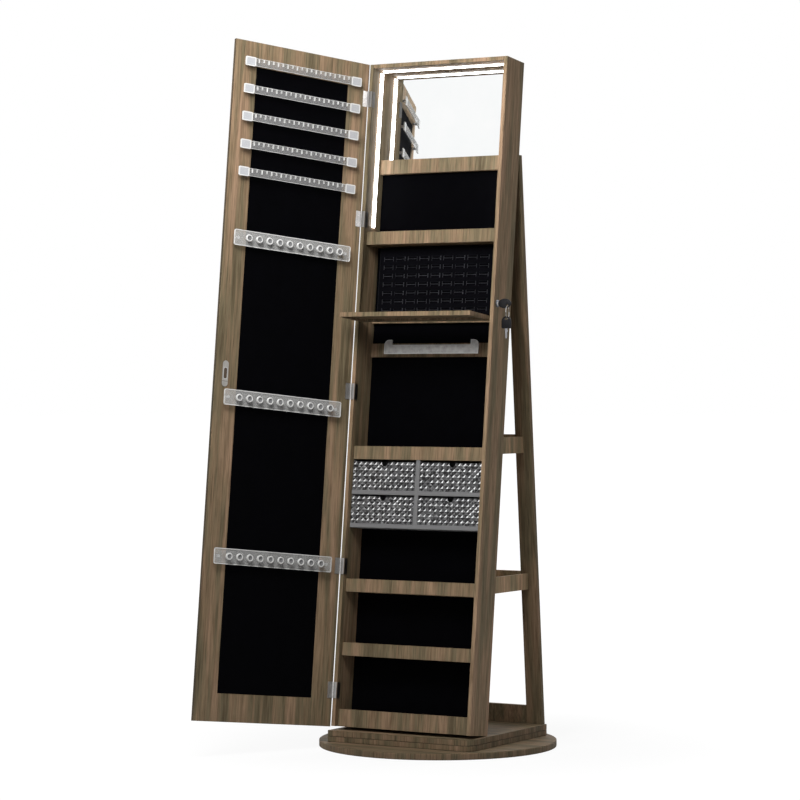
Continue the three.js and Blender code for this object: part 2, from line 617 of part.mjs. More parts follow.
// ---- assembly ----
const group = new THREE.Group();
const cabinet = new THREE.Group();
cabinet.position.set(...CABINET_FOOT);
cabinet.rotation.x = -LEAN;
const door = new THREE.Group();
door.position.set(...HINGE_AXIS, 0);
door.rotation.z = -DOOR_OPEN;
cabinet.add(door);
group.add(cabinet);

addBase(group);
addEasel(group);
addCarcass(cabinet);
addFittings(cabinet);
addDrawers(cabinet);
addMesh(cabinet, "flap_board", flapGeometry(), wood);
addDoor(door);
addKeys(group, cabinet);

export default group;
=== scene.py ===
"""Looks for the leaning jewelry armoire. Metres; the model's own frame: +Z up, -Y the front."""

import json
import math
import random

import bmesh
import bpy
from mathutils import Matrix, Vector


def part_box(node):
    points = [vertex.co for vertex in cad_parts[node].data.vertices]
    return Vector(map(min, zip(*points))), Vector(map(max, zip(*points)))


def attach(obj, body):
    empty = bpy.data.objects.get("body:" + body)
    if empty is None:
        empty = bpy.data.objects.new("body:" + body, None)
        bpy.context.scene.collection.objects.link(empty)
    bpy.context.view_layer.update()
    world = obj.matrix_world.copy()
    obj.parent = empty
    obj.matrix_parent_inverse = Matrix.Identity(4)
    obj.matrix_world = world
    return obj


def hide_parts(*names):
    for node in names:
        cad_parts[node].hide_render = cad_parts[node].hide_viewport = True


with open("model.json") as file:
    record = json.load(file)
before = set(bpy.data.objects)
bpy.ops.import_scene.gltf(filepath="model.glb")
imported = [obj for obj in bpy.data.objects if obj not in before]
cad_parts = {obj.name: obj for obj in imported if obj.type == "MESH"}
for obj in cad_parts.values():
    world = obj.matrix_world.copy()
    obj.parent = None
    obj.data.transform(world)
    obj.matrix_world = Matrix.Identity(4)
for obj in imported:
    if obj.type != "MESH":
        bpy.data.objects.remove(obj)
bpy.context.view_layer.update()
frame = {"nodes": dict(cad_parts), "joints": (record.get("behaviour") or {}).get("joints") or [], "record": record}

# ---- frame of the leaning cabinet and of the open door, from the joints ----
JOINTS = {joint["name"]: joint for joint in frame["joints"]}
UP = -Vector(JOINTS["door_hinge"]["axis"]).normalized()  # along the lean
RIGHT = Vector((1, 0, 0))
INWARD = -Vector(JOINTS["drawer_upper_left_slide"]["axis"]).normalized()  # into the cabinet
LEAN = math.atan2(UP.y, UP.z)
HINGE_X, HINGE_DEPTH, HINGE_HEIGHT = -0.1787, -0.0015, 0.75  # the joint's place in the cabinet
HINGE = Vector(JOINTS["door_hinge"]["pos_m"])
FOOT = HINGE - HINGE_X * RIGHT - HINGE_DEPTH * INWARD - HINGE_HEIGHT * UP
DOOR_OPEN = math.radians(114.3)
ALONG_DOOR = math.cos(DOOR_OPEN) * RIGHT - math.sin(DOOR_OPEN) * INWARD
OFF_DOOR = math.sin(DOOR_OPEN) * RIGHT + math.cos(DOOR_OPEN) * INWARD


def axes_matrix(x_axis, y_axis, z_axis, origin):
    matrix = Matrix((x_axis, y_axis, z_axis)).transposed().to_4x4()
    matrix.translation = origin
    return matrix


CABINET = axes_matrix(RIGHT, INWARD, UP, FOOT)
DOOR = axes_matrix(ALONG_DOOR, OFF_DOOR, UP, HINGE - HINGE_HEIGHT * UP)
HERE = Matrix.Identity(4)
MM = 0.001


# ---- materials ----
class Graph:
    """The node tree of a new material or world, built by short calls."""

    def __init__(self, name, owners=bpy.data.materials, output="OutputMaterial"):
        self.owner = owners.new(name)
        self.owner.use_nodes = True
        self.tree = self.owner.node_tree
        self.tree.nodes.clear()
        self.output = self.add(output)

    def add(self, kind, inputs=None, **settings):
        node = self.tree.nodes.new("ShaderNode" + kind)
        for key, value in settings.items():
            setattr(node, key, value)
        for key, value in (inputs or {}).items():
            if isinstance(value, bpy.types.NodeSocket):
                self.tree.links.new(value, node.inputs[key])
            else:
                node.inputs[key].default_value = value
        return node

    def math(self, operation, a, b=0.0):
        return self.add("Math", {0: a, 1: b}, operation=operation).outputs[0]

    def ramp(self, value, stops):
        node = self.add("ValToRGB", {"Fac": value})
        ramp = node.color_ramp
        while len(ramp.elements) < len(stops):
            ramp.elements.new(0.5)
        for element, (position, colour) in zip(ramp.elements, stops):
            element.position = position
            element.color = (*colour, 1)
        return node.outputs["Color"]

    def multiply(self, factor, a, b):
        """Colour a, multiplied by colour b as far as factor says."""
        inputs = {0: factor, 6: a, 7: b}
        return self.add("Mix", inputs, data_type="RGBA", blend_type="MULTIPLY").outputs[2]

    def noise(self, vector, scale, detail=3.0, roughness=0.5, distortion=0.0):
        inputs = {"Vector": vector, "Scale": scale, "Detail": detail}
        inputs.update({"Roughness": roughness, "Distortion": distortion})
        return self.add("TexNoise", inputs).outputs["Fac"]

    def bump(self, height, strength, distance):
        inputs = {"Height": height, "Strength": strength, "Distance": distance}
        return self.add("Bump", inputs).outputs["Normal"]

    def surface(self, **inputs):
        """The shader itself, with its varying inputs."""
        named = {key.replace("_", " "): value for key, value in inputs.items()}
        self.shader = self.add("BsdfPrincipled", named)
        return self.show(self.shader)

    def finish(self, **values):
        """Sets plain values on the shader's own sockets."""
        for key, value in values.items():
            self.shader.inputs[key.replace("_", " ")].default_value = value
        return self.owner

    def show(self, shader):
        self.tree.links.new(shader.outputs[0], self.output.inputs["Surface"])
        return self.owner

    def coordinates(self):
        return self.add("TexCoord").outputs["Object"]


WOOD_DARK = (0.098, 0.073, 0.043)
WOOD_OLIVE = (0.150, 0.121, 0.073)
WOOD_BROWN = (0.212, 0.148, 0.090)
WOOD_PINK = (0.288, 0.190, 0.123)
LEVEL_FACE = 0.8  # how squarely a face must point up or down for its grain to run along X


def wood(name, seed, tilt, tone):
    """Weathered oak foil. The grain runs up the piece, and along X on level faces."""
    g = Graph(name)
    texture = g.add("TexCoord")
    turn = (tilt, 0, 0)
    shift = (seed * 0.731, seed * 0.417, seed * 1.93)
    place = g.add("Mapping", {"Vector": texture.outputs["Object"], "Rotation": turn, "Location": shift})
    normal = {"Vector": texture.outputs["Normal"], "Rotation": turn}
    facing = g.add("Mapping", normal, vector_type="NORMAL")
    parts = g.add("SeparateXYZ", {0: place.outputs[0]}).outputs
    lie = g.add("SeparateXYZ", {0: facing.outputs[0]}).outputs[2]
    level = g.math("GREATER_THAN", g.math("ABSOLUTE", lie), LEVEL_FACE)
    lying = g.add("CombineXYZ", {0: parts[2], 1: parts[1], 2: parts[0]}).outputs[0]
    grain = g.add("Mix", {0: level, 4: place.outputs[0], 5: lying}, data_type="VECTOR").outputs[1]

    def stretched(across, along):
        scaled = g.add("VectorMath", {0: grain, 1: (across, across, along)}, operation="MULTIPLY")
        return scaled.outputs[0]

    bands = g.noise(stretched(40, 2.6), 1.0, 4.0, 0.62, 0.35)
    colour = g.ramp(bands, [(0.32, WOOD_DARK), (0.43, WOOD_OLIVE), (0.54, WOOD_BROWN), (0.68, WOOD_PINK)])
    rings = g.noise(stretched(22, 1.1), 1.0, 2.0, 0.5, 0.4)
    ring_lines = g.math("MULTIPLY_ADD", g.math("SINE", g.math("MULTIPLY", rings, 90.0)), 0.5)
    ring_tone = g.ramp(ring_lines, [(0.0, (0.78, 0.77, 0.74)), (0.35, (1.06, 1.06, 1.06))])
    colour = g.multiply(0.45, colour, ring_tone)
    streaks = g.noise(stretched(300, 11.0), 1.0, 4.0, 0.6, 0.2)
    streak_tone = g.ramp(streaks, [(0.34, (0.55, 0.53, 0.5)), (0.5, (1, 1, 1)), (0.68, (1.24, 1.23, 1.2))])
    colour = g.multiply(0.72, colour, streak_tone)
    pores = g.noise(stretched(640, 20), 1.0, 3.0, 0.6)
    pore_tone = g.ramp(pores, [(0.36, (0.6, 0.58, 0.55)), (0.48, (1, 1, 1))])
    colour = g.multiply(0.7, colour, pore_tone)
    # tone lightens or darkens all of the colour; the tone tables use it for painted light and shade.
    colour = g.multiply(1.0, colour, (tone, tone, tone, 1))
    roughness = g.add("MapRange", {"Value": streaks, "To Min": 0.72, "To Max": 0.55}).outputs[0]
    relief = g.bump(pores, 0.3, 0.0003)
    g.surface(Base_Color=colour, Roughness=roughness, Normal=relief)
    return g.finish(Specular_IOR_Level=0.22)


def fabric(name, colour, fine=2600, sheen=0.02):
    """Felt or velvet: a fine pile with broad, faint clouds."""
    g = Graph(name)
    place = g.coordinates()
    pile = g.noise(place, fine, 2.0, 0.7)
    drift = g.noise(place, 30, 3.0, 0.5)
    shade = g.ramp(pile, [(0.3, tuple(c * 0.5 for c in colour)), (0.7, tuple(c * 1.6 for c in colour))])
    cloud = g.ramp(drift, [(0.3, (0.75, 0.75, 0.75)), (0.7, (1.2, 1.2, 1.25))])
    shade = g.multiply(0.6, shade, cloud)
    relief = g.bump(pile, 0.5, 0.0004)
    g.surface(Base_Color=shade, Roughness=0.96, Normal=relief)
    tint = (0.75, 0.78, 0.9, 1)
    return g.finish(Sheen_Weight=sheen, Sheen_Roughness=0.4, Sheen_Tint=tint, Specular_IOR_Level=0.04)


def plastic(name, colour, roughness, speckle=0.12, alpha=1.0, coat=0.0, gloss=0.5, fine=1500):
    """Moulded or sheet plastic with a faint cloud and fine grain."""
    g = Graph(name)
    place = g.coordinates()
    grain = g.noise(place, fine, 2.0, 0.6)
    low = tuple(c * (1 - speckle) for c in colour)
    high = tuple(min(1.0, c * (1 + speckle)) for c in colour)
    shade = g.ramp(grain, [(0.3, low), (0.7, high)])
    wear = g.noise(place, 40, 3.0, 0.6)
    rough = g.add("MapRange", {"Value": wear, "To Min": roughness * 0.8, "To Max": roughness * 1.2})
    relief = g.bump(grain, 0.12, 0.0002)
    g.surface(Base_Color=shade, Roughness=rough.outputs[0], Normal=relief)
    return g.finish(Alpha=alpha, Coat_Weight=coat, Specular_IOR_Level=gloss)


def metal(name, colour, roughness, brushed):
    """Plated metal with smudges and fine scratches along one way."""
    g = Graph(name)
    place = g.coordinates()
    stretched = g.add("VectorMath", {0: place, 1: (1, 1, 30)}, operation="MULTIPLY").outputs[0]
    scratches = g.noise(stretched, 260, 4.0, 0.65)
    smudges = g.noise(place, 90, 3.0, 0.6)
    low = tuple(c * 0.86 for c in colour)
    shade = g.ramp(smudges, [(0.35, low), (0.65, colour)])
    rough = g.add("MapRange", {"Value": scratches, "To Min": roughness * 0.7, "To Max": roughness * 1.3})
    relief = g.bump(scratches, brushed, 0.0001)
    return g.surface(Base_Color=shade, Metallic=1.0, Roughness=rough.outputs[0], Normal=relief)


def silvered(name):
    """A mirror with a breath of haze."""
    g = Graph(name)
    haze = g.noise(g.coordinates(), 12, 4.0, 0.6)
    shade = g.ramp(haze, [(0.3, (0.93, 0.945, 0.945)), (0.7, (0.96, 0.965, 0.965))])
    rough = g.add("MapRange", {"Value": haze, "To Min": 0.005, "To Max": 0.03})
    return g.surface(Base_Color=shade, Metallic=1.0, Roughness=rough.outputs[0])


def glowing(name, strength):
    """A lit diffuser."""
    g = Graph(name)
    haze = g.noise(g.coordinates(), 80, 2.0, 0.5)
    shade = g.ramp(haze, [(0.3, (0.95, 0.96, 1.0)), (0.7, (1.0, 1.0, 1.0))])
    g.surface(Base_Color=shade, Roughness=0.35, Emission_Color=shade)
    return g.finish(Emission_Strength=strength)


FELT = fabric("felt_black", (0.0009, 0.0009, 0.0013))
PAD = fabric("velvet_black", (0.0022, 0.0022, 0.003), fine=3400, sheen=0.05)
# The cut lines' lighter grey is a painted highlight.
SLIT = fabric("slit_painted_highlight", (0.036, 0.036, 0.04), fine=3400, sheen=0.1)
MIRROR = silvered("mirror_silver")
SHEET = plastic("acrylic_sheet", (0.6, 0.6, 0.59), 0.16, 0.04, alpha=0.3, coat=0.4)
COMB = plastic("acrylic_comb", (0.3, 0.3, 0.3), 0.3, 0.03, alpha=0.34, gloss=0.15, fine=400)
# The comb's lighter slot sides and rim are a painted highlight.
TICK_HIGHLIGHT = plastic("acrylic_tick_highlight", (0.72, 0.72, 0.71), 0.3, 0.03, alpha=0.85, gloss=0.2, fine=400)
CLIP = plastic("acrylic_clip", (0.46, 0.47, 0.49), 0.1, 0.2, alpha=0.75, coat=0.8)
# The bright edges, rims and knob rims of the clear pieces are a painted highlight.
EDGE = plastic("acrylic_edge_highlight", (0.7, 0.7, 0.69), 0.2, 0.04, alpha=0.8, coat=0.5)
# The dark of the knobs' hollow tops is painted shade; the clips' windows take it too.
DISH_SHADE = plastic("acrylic_dish_shade", (0.16, 0.16, 0.165), 0.12, 0.2, alpha=0.75, coat=0.6)
BANGLE = plastic("acrylic_bangle", (0.78, 0.77, 0.76), 0.14, 0.22, alpha=0.5, coat=0.6, fine=75)
TRAY = plastic("acrylic_tray", (0.5, 0.5, 0.51), 0.2, 0.05, alpha=0.4, coat=0.2)
# Four tones of one dark grey plastic: a painted glint, painted light, painted half shade and painted shade, given
# to each facet by its lean.
FACET_SHADES = [
    plastic("facet_painted_glint", (0.8, 0.81, 0.82), 0.08, 0.08, coat=0.8),
    plastic("facet_painted_light", (0.17, 0.17, 0.173), 0.1, 0.2, coat=0.6),
    plastic("facet_painted_half_shade", (0.08, 0.08, 0.082), 0.1, 0.3, coat=0.4, gloss=0.3),
    plastic("facet_painted_shade", (0.022, 0.021, 0.022), 0.12, 0.3, coat=0.2, gloss=0.2),
]
HOUSING = plastic("housing_grey", (0.16, 0.16, 0.162), 0.55, 0.1, gloss=0.25)
GLOW = glowing("light_diffuser", 9.0)
STEEL = metal("nickel_steel", (0.72, 0.71, 0.7), 0.3, 0.15)
# The dark of the strike plate's slot and seam is painted shade.
SLOT_SHADE = plastic("strike_slot_shade", (0.075, 0.055, 0.04), 0.7, 0.2, gloss=0.2)
STRIKE_STEEL = metal("strike_steel", (0.5, 0.48, 0.45), 0.35, 0.15)
BLADE_STEEL = metal("blade_steel", (0.46, 0.46, 0.49), 0.25, 0.15)
BEZEL_STEEL = metal("bezel_steel", (0.34, 0.36, 0.39), 0.16, 0.05)
COVER_STEEL = metal("cover_steel", (0.5, 0.49, 0.48), 0.5, 0.15)
# The side-panel hinge leaf's darker steel is painted shade.
SHADED_STEEL = metal("leaf_steel_shade", (0.16, 0.155, 0.15), 0.4, 0.15)
CHROME = metal("chrome", (0.82, 0.82, 0.83), 0.1, 0.02)
BLACK = plastic("black_plastic", (0.006, 0.006, 0.007), 0.45, 0.2, gloss=0.3)


# ---- mesh helpers ----
def linked_object(name, bm):
    """An object of a bmesh, which is used up."""
    bmesh.ops.recalc_face_normals(bm, faces=bm.faces)
    mesh = bpy.data.meshes.new(name)
    bm.to_mesh(mesh)
    bm.free()
    item = bpy.data.objects.new(name, mesh)
    bpy.context.scene.collection.objects.link(item)
    return item


def finish_mesh(name, bm, materials, body, slot, matrix=None, smooth=35, replaces=()):
    """Makes a piece of a bmesh, says where it rides and hides the CAD parts it replaces; its slot is not used."""
    if matrix is not None:
        bmesh.ops.transform(bm, matrix=matrix, verts=bm.verts)
    piece = linked_object(name, bm)
    for material in materials:
        piece.data.materials.append(material)
    piece.data.shade_smooth()
    piece.data.set_sharp_from_angle(angle=math.radians(smooth))
    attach(piece, body)
    if replaces:
        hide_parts(*replaces)
    return piece


def add_box(bm, x, y, z):
    """A box given by its ranges."""
    size = Vector((x[1] - x[0], y[1] - y[0], z[1] - z[0]))
    centre = Vector((x[0] + x[1], y[0] + y[1], z[0] + z[1])) / 2
    matrix = Matrix.Translation(centre) @ Matrix.Diagonal((*size, 1))
    bmesh.ops.create_cube(bm, size=1, matrix=matrix)


def arc(cx, cy, radius, start, end, steps=6):
    """Points on a round corner, angles in degrees."""
    points = []
    for i in range(steps + 1):
        angle = math.radians(start + (end - start) * i / steps)
        points.append((cx + radius * math.cos(angle), cy + radius * math.sin(angle)))
    return points


def rounded_outline(x0, x1, y0, y1, radius, steps=6):
    """A rectangle with round corners."""
    left, right, low, high = x0 + radius, x1 - radius, y0 + radius, y1 - radius
    outline = []
    for k, centre in enumerate(((right, low), (right, high), (left, high), (left, low))):
        outline += arc(*centre, radius, 90 * k - 90, 90 * k, steps)
    return outline


def facing_out(offset, place=HERE):
    """Sets an XY outline in a panel's X-Z plane at an offset, its +Z pointing off the panel."""
    return place @ Matrix(((1, 0, 0, 0), (0, 0, 1, offset), (0, 1, 0, 0), (0, 0, 0, 1)))


def add_outline(bm, points, depth, axis_matrix, index=0, edge_index=None, rim=0.0):
    """A closed outline in the XY plane pushed to +Z by depth; its sides and a rim may look different."""
    base = [bm.verts.new(axis_matrix @ Vector((x, y, 0))) for x, y in points]
    lid = [bm.verts.new(axis_matrix @ Vector((x, y, depth))) for x, y in points]
    caps = [bm.faces.new(base[::-1]), bm.faces.new(lid)]
    edge_index = index if edge_index is None else edge_index
    for i in range(len(points)):
        j = (i + 1) % len(points)
        bm.faces.new((base[i], base[j], lid[j], lid[i])).material_index = edge_index
    for face in caps:
        face.material_index = index
    if rim:
        bm.normal_update()
        made = bmesh.ops.inset_individual(bm, faces=caps, thickness=rim, use_even_offset=True)
        for face in made["faces"]:
            face.material_index = edge_index


def add_turned(bm, profile, matrix, steps=32, indices=0):
    """A solid of revolution about Z from (radius, height) pairs; one material index, or one a stretch."""
    rings = []
    for radius, height in profile:
        if radius == 0:
            rings.append([bm.verts.new(matrix @ Vector((0, 0, height)))])
            continue
        turns = (2 * math.pi * i / steps for i in range(steps))
        ring = [Vector((radius * math.cos(t), radius * math.sin(t), height)) for t in turns]
        rings.append([bm.verts.new(matrix @ point) for point in ring])
    for stretch, (low, high) in enumerate(zip(rings, rings[1:])):
        index = indices if isinstance(indices, int) else indices[stretch]
        for i in range(steps):
            j = (i + 1) % steps
            corners = [low[i % len(low)], low[j % len(low)], high[j % len(high)], high[i % len(high)]]
            unique = list(dict.fromkeys(corners))
            if len(unique) > 2:
                bm.faces.new(unique).material_index = index


def ease_edges(bm, width, segments=2, angle=30):
    """Rounds every sharp edge a little."""
    sharp = [e for e in bm.edges if e.is_manifold and e.calc_face_angle() > math.radians(angle)]
    shape = {"offset": width, "segments": segments, "profile": 0.5, "clamp_overlap": True}
    bmesh.ops.bevel(bm, geom=sharp, affect="EDGES", **shape)


SAME_POINT = 2e-6  # vertices closer than this are one
SAME_PLANE = math.radians(0.5)  # faces that turn less than this are one


def node_bmesh(node):
    """The CAD node's mesh with its doubled vertices merged and its flat faces whole."""
    bm = bmesh.new()
    bm.from_mesh(frame["nodes"][node].data)
    bmesh.ops.remove_doubles(bm, verts=bm.verts, dist=SAME_POINT)
    bmesh.ops.dissolve_limit(bm, angle_limit=SAME_PLANE, verts=bm.verts, edges=bm.edges)
    return bm


def eased(node, material, body, slot, width, segments=2):
    """A CAD piece again, with softened edges."""
    bm = node_bmesh(node)
    ease_edges(bm, width, segments)
    for face in bm.faces:
        face.material_index = 0
    return finish_mesh(node + "_shaped", bm, [material], body, slot, replaces=[node], smooth=25)


# ---- wood ----
LEG_LEAN = -math.radians(4.9)
LEVEL_BOARDS = ("base_lower_board", "base_upper_board", "rear_tray_lower", "rear_tray_upper")
BOARD_SHADING_TONES = {  # painted light and shade: how much lighter or darker each board's wood is made, 1 where it isn't listed
    "rear_leg_left": 0.9,
    "rear_leg_right": 0.9,
    "side_panel_right": 1.15,
    "base_lower_board": 0.85,
    "base_upper_board": 0.85,
    "rear_tray_lower": 2.1,
    "rear_tray_upper": 2.1,
}
EDGE_SHADING_TONES = {  # painted light and shade on ends and rounded edges: the door's end face and the base boards' rounded edges along their seam darker as painted shade, the right side panel's front edge at its own brightness as painted light
    "door_panel": 0.3,
    "side_panel_right": 1.1,
    "base_lower_board": 0.3,
    "base_upper_board": 0.3,
}
BOARD_BEVEL, BASE_BEVEL = 0.35 * MM, 0.9 * MM
SLOPING = (0.3, 0.9)  # the upward part of the normal on a level board's rounded edge
ON_END = 0.7  # how squarely a face must point out of a board's end to be part of it


def make_wood():
    bodies = frame["record"]["behaviour"]["bodies"]
    body_of = {node: body for body, nodes in bodies.items() for node in nodes}
    slots = {part["node"]: part["material_slot"] for part in frame["record"]["subparts"]}
    wooden = [node for node in sorted(body_of) if slots[node] == "wood" and node != "floor_disc"]
    for seed, node in enumerate(wooden, 1):
        tilt = LEG_LEAN if node.startswith("rear_leg") else 0.0 if node in LEVEL_BOARDS else LEAN
        # Both tone tables paint light and shade into the wood's colour.
        materials = [wood(f"oak_{node}", seed, tilt, BOARD_SHADING_TONES.get(node, 1.0))]
        if node in EDGE_SHADING_TONES:
            materials.append(wood(f"oak_{node}_edge", seed, tilt, EDGE_SHADING_TONES[node]))
        facing = ALONG_DOOR if node == "door_panel" else CABINET.to_3x3() @ Vector((0, -1, 0))
        bm = node_bmesh(node)
        ease_edges(bm, BASE_BEVEL if node in LEVEL_BOARDS else BOARD_BEVEL)
        for face in bm.faces:
            sloping = node in LEVEL_BOARDS and SLOPING[0] < abs(face.normal.z) < SLOPING[1]
            on_end = node not in LEVEL_BOARDS and face.normal.dot(facing) > ON_END
            # Listed boards' ends and rounded edges take the painted light and shade material.
            face.material_index = 1 if node in EDGE_SHADING_TONES and (sloping or on_end) else 0
        finish_mesh(node + "_shaped", bm, materials, body_of[node], "wood", replaces=[node], smooth=25)


BAND_THICK, BAND_GAP, BAND_BEVEL = 1.0 * MM, 0.02 * MM, 0.3 * MM
# The strip's dark tone is painted shade.
BAND_SHADE_TONE, BAND_SEED = 0.45, 41


def make_door_edge_shade_strip():
    """A thin dark strip over the door's hinge-side edge, painted shade along that edge."""
    panel = frame["nodes"]["door_panel"]
    to_door = DOOR.inverted() @ panel.matrix_world
    corners = [to_door @ vertex.co for vertex in panel.data.vertices]
    near = min(corner.x for corner in corners)
    on_edge = [corner for corner in corners if corner.x < near + BAND_THICK]
    depths = [corner.y for corner in on_edge]
    levels = [corner.z for corner in on_edge]
    bm = bmesh.new()
    across = (near - BAND_GAP - BAND_THICK, near - BAND_GAP)
    add_box(bm, across, (min(depths), max(depths)), (min(levels), max(levels)))
    ease_edges(bm, BAND_BEVEL)
    shade_wood = wood("oak_door_edge_shade", BAND_SEED, LEAN, BAND_SHADE_TONE)
    finish_mesh("door_edge_shade_strip", bm, [shade_wood], "door", "wood", DOOR)


DISC_EASE = 1.6 * MM
DISC_TONE, DISC_SEED = 0.7, 40


def make_disc():
    low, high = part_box("floor_disc")
    inset, top = (high.x - low.x) / 2 - DISC_EASE, high.z
    profile = [(0, 0)]
    profile += arc(inset, DISC_EASE, DISC_EASE, -90, 0, 4)
    profile += arc(inset, top - DISC_EASE, DISC_EASE, 0, 90, 4)
    profile.append((0, top))
    bm = bmesh.new()
    add_turned(bm, profile, HERE, steps=192)
    disc_wood = wood("oak_floor_disc", DISC_SEED, 0.0, DISC_TONE)
    node = "floor_disc"
    finish_mesh("floor_disc_shaped", bm, [disc_wood], "floor_base", "wood", replaces=[node])


# ---- liners, mirrors and lights ----
def make_linings():
    eased("back_liner", FELT, "swivel", "felt", 0.4 * MM)
    eased("door_felt", FELT, "door", "felt", 0.3 * MM)
    eased("inner_mirror", MIRROR, "swivel", "mirror", 0.8 * MM, 1)
    eased("door_mirror", MIRROR, "door", "mirror", 0.6 * MM, 1)


def make_lights():
    for node in ("led_strip_left", "led_strip_right", "led_strip_top"):
        eased(node, GLOW, "swivel", "light", 1.0 * MM, 3)


# ---- ring pad ----
PAD_HALF, PAD_BOTTOM, PAD_TOP = 150 * MM, 924 * MM, 1084 * MM
PAD_FRONT, PAD_BEHIND, PAD_STEP = 41 * MM, 66.7 * MM, 0.9 * MM
PAD_COLUMNS, PAD_PITCH_X = 9, 31 * MM
PAD_ROWS, PAD_PITCH_Z, PAD_FIRST = 7, 19.5 * MM, 1057.7 * MM
SLIT_HALF, SLIT_END = 11.5 * MM, 4.5 * MM
SLIT_LINE = 0.75 * MM  # half width of the lighter line in each cut, a painted highlight
SLIT_DEPTH, SLIT_REACH = 3.5 * MM, 1.5 * MM
LIP_RISE, LIP_OFFSET, LIP_WIDTH = 0.9 * MM, 3 * MM, 1.5 * MM
PAD_ROUND = 7 * MM
FAR_AWAY = 1.0


def slit_distance(x, z):
    """How far a point of the pad's face is from the nearest cut line, and its offset from the slit."""
    column = round(x / PAD_PITCH_X)
    row = round((PAD_FIRST - z) / PAD_PITCH_Z)
    if abs(column) > PAD_COLUMNS // 2 or not 0 <= row < PAD_ROWS:
        return FAR_AWAY, FAR_AWAY, FAR_AWAY
    dx = abs(x - column * PAD_PITCH_X)
    dz = abs(z - (PAD_FIRST - row * PAD_PITCH_Z))
    to_slit = math.hypot(dz, max(0.0, dx - SLIT_HALF))
    to_end = math.hypot(dx - SLIT_HALF, max(0.0, dz - SLIT_END))
    return min(to_slit, to_end), dx, dz


def pad_height(x, z):
    """How far the pad's face stands back at a point: rounded borders, slits and their raised lips."""
    border = min(PAD_HALF - abs(x), z - PAD_BOTTOM, PAD_TOP - z)
    back = 0.0
    if border < PAD_ROUND:
        back += PAD_ROUND - math.sqrt(max(0.0, PAD_ROUND**2 - (PAD_ROUND - border) ** 2))
    near, dx, dz = slit_distance(x, z)
    back += SLIT_DEPTH * max(0.0, 1 - near / SLIT_REACH)
    if dx < SLIT_HALF:
        back -= LIP_RISE * math.exp(-(((dz - LIP_OFFSET) / LIP_WIDTH) ** 2))
    return back


def pad_face(bm):
    """The pad's face as a fine grid, with the cut lines in the second material, a lighter grey that is painted
    highlight.
    """
    columns, rows = int(2 * PAD_HALF / PAD_STEP), int((PAD_TOP - PAD_BOTTOM) / PAD_STEP)
    face_grid = []
    for j in range(rows + 1):
        z = PAD_BOTTOM + (PAD_TOP - PAD_BOTTOM) * j / rows
        row = []
        for i in range(columns + 1):
            x = -PAD_HALF + 2 * PAD_HALF * i / columns
            depth = min(PAD_FRONT + pad_height(x, z), PAD_BEHIND)
            row.append(bm.verts.new((x, depth, z)))
        face_grid.append(row)
    for low, high in zip(face_grid, face_grid[1:]):
        for i in range(columns):
            bm.faces.new((low[i], low[i + 1], high[i + 1], high[i]))
    for face in bm.faces:
        centre = face.calc_center_median()
        face.material_index = 1 if slit_distance(centre.x, centre.z)[0] < SLIT_LINE else 0


def make_ring_pad():
    bm = bmesh.new()
    pad_face(bm)
    rim = [e for e in bm.edges if e.is_boundary]
    made = bmesh.ops.extrude_edge_only(bm, edges=rim)["geom"]
    for vert in (item for item in made if isinstance(item, bmesh.types.BMVert)):
        vert.co.y = PAD_BEHIND
    back_edges = [e for e in bm.edges if e.is_boundary]
    bmesh.ops.contextual_create(bm, geom=back_edges)
    node = "ring_cushion"
    pad = finish_mesh("ring_pad", bm, [PAD, SLIT], "swivel", "pad", CABINET, smooth=60, replaces=[node])


# ---- clear bars ----
FACE_OF_DOOR = -1.3 * MM  # where fittings stand on the door's inner face
EARRING_HEIGHTS = (1452, 1391, 1329, 1267, 1206)  # millimetres up the door
NECKLACE_HEIGHTS = (1059, 706, 358)
STUD_RADIUS = 3.5 * MM


def add_stud(bm, x, level, start, end, index):
    """A short round post between two depths off a panel."""
    place = facing_out(start, Matrix.Translation((x, 0, level)))
    reach = end - start
    add_turned(bm, [(0, 0), (STUD_RADIUS, 0), (STUD_RADIUS, reach), (0, reach)], place, 24, index)


EARRING_NEAR, EARRING_FAR, EARRING_CLIP = 28.3 * MM, 337 * MM, 26 * MM
EARRING_BACK, EARRING_THICK = 10.4 * MM, 2.6 * MM
CLIP_HALF, CLIP_CORNER, CLIP_RIM = 10.2 * MM, 2.5 * MM, 2.2 * MM
WINDOW_INSET, WINDOW_HALF, WINDOW_CORNER = 9 * MM, 5 * MM, 2 * MM
WINDOW_THICK, WINDOW_BEHIND = 1.2 * MM, 1.4 * MM
COMB_HALF, COMB_RIM = 8.6 * MM, 0.5 * MM
COMB_PITCH, COMB_SLOT, COMB_DEPTHS = 12.6 * MM, 1.2 * MM, (6.5 * MM, 9 * MM)


def comb_outline(start, end, level):
    """A strip with shallow and deep slots by turns along its upper edge."""
    slots = int((end - start) / COMB_PITCH)
    margin = (end - start - (slots - 1) * COMB_PITCH) / 2
    low, high = level - COMB_HALF, level + COMB_HALF
    outline = [(start, low), (end, low), (end, high)]
    for i in reversed(range(slots)):
        x = start + margin + i * COMB_PITCH
        floor = high - COMB_DEPTHS[i % 2]
        left, right = x - COMB_SLOT / 2, x + COMB_SLOT / 2
        outline += [(right, high), (right, floor), (left, floor), (left, high)]
    outline.append((start, high))
    return outline


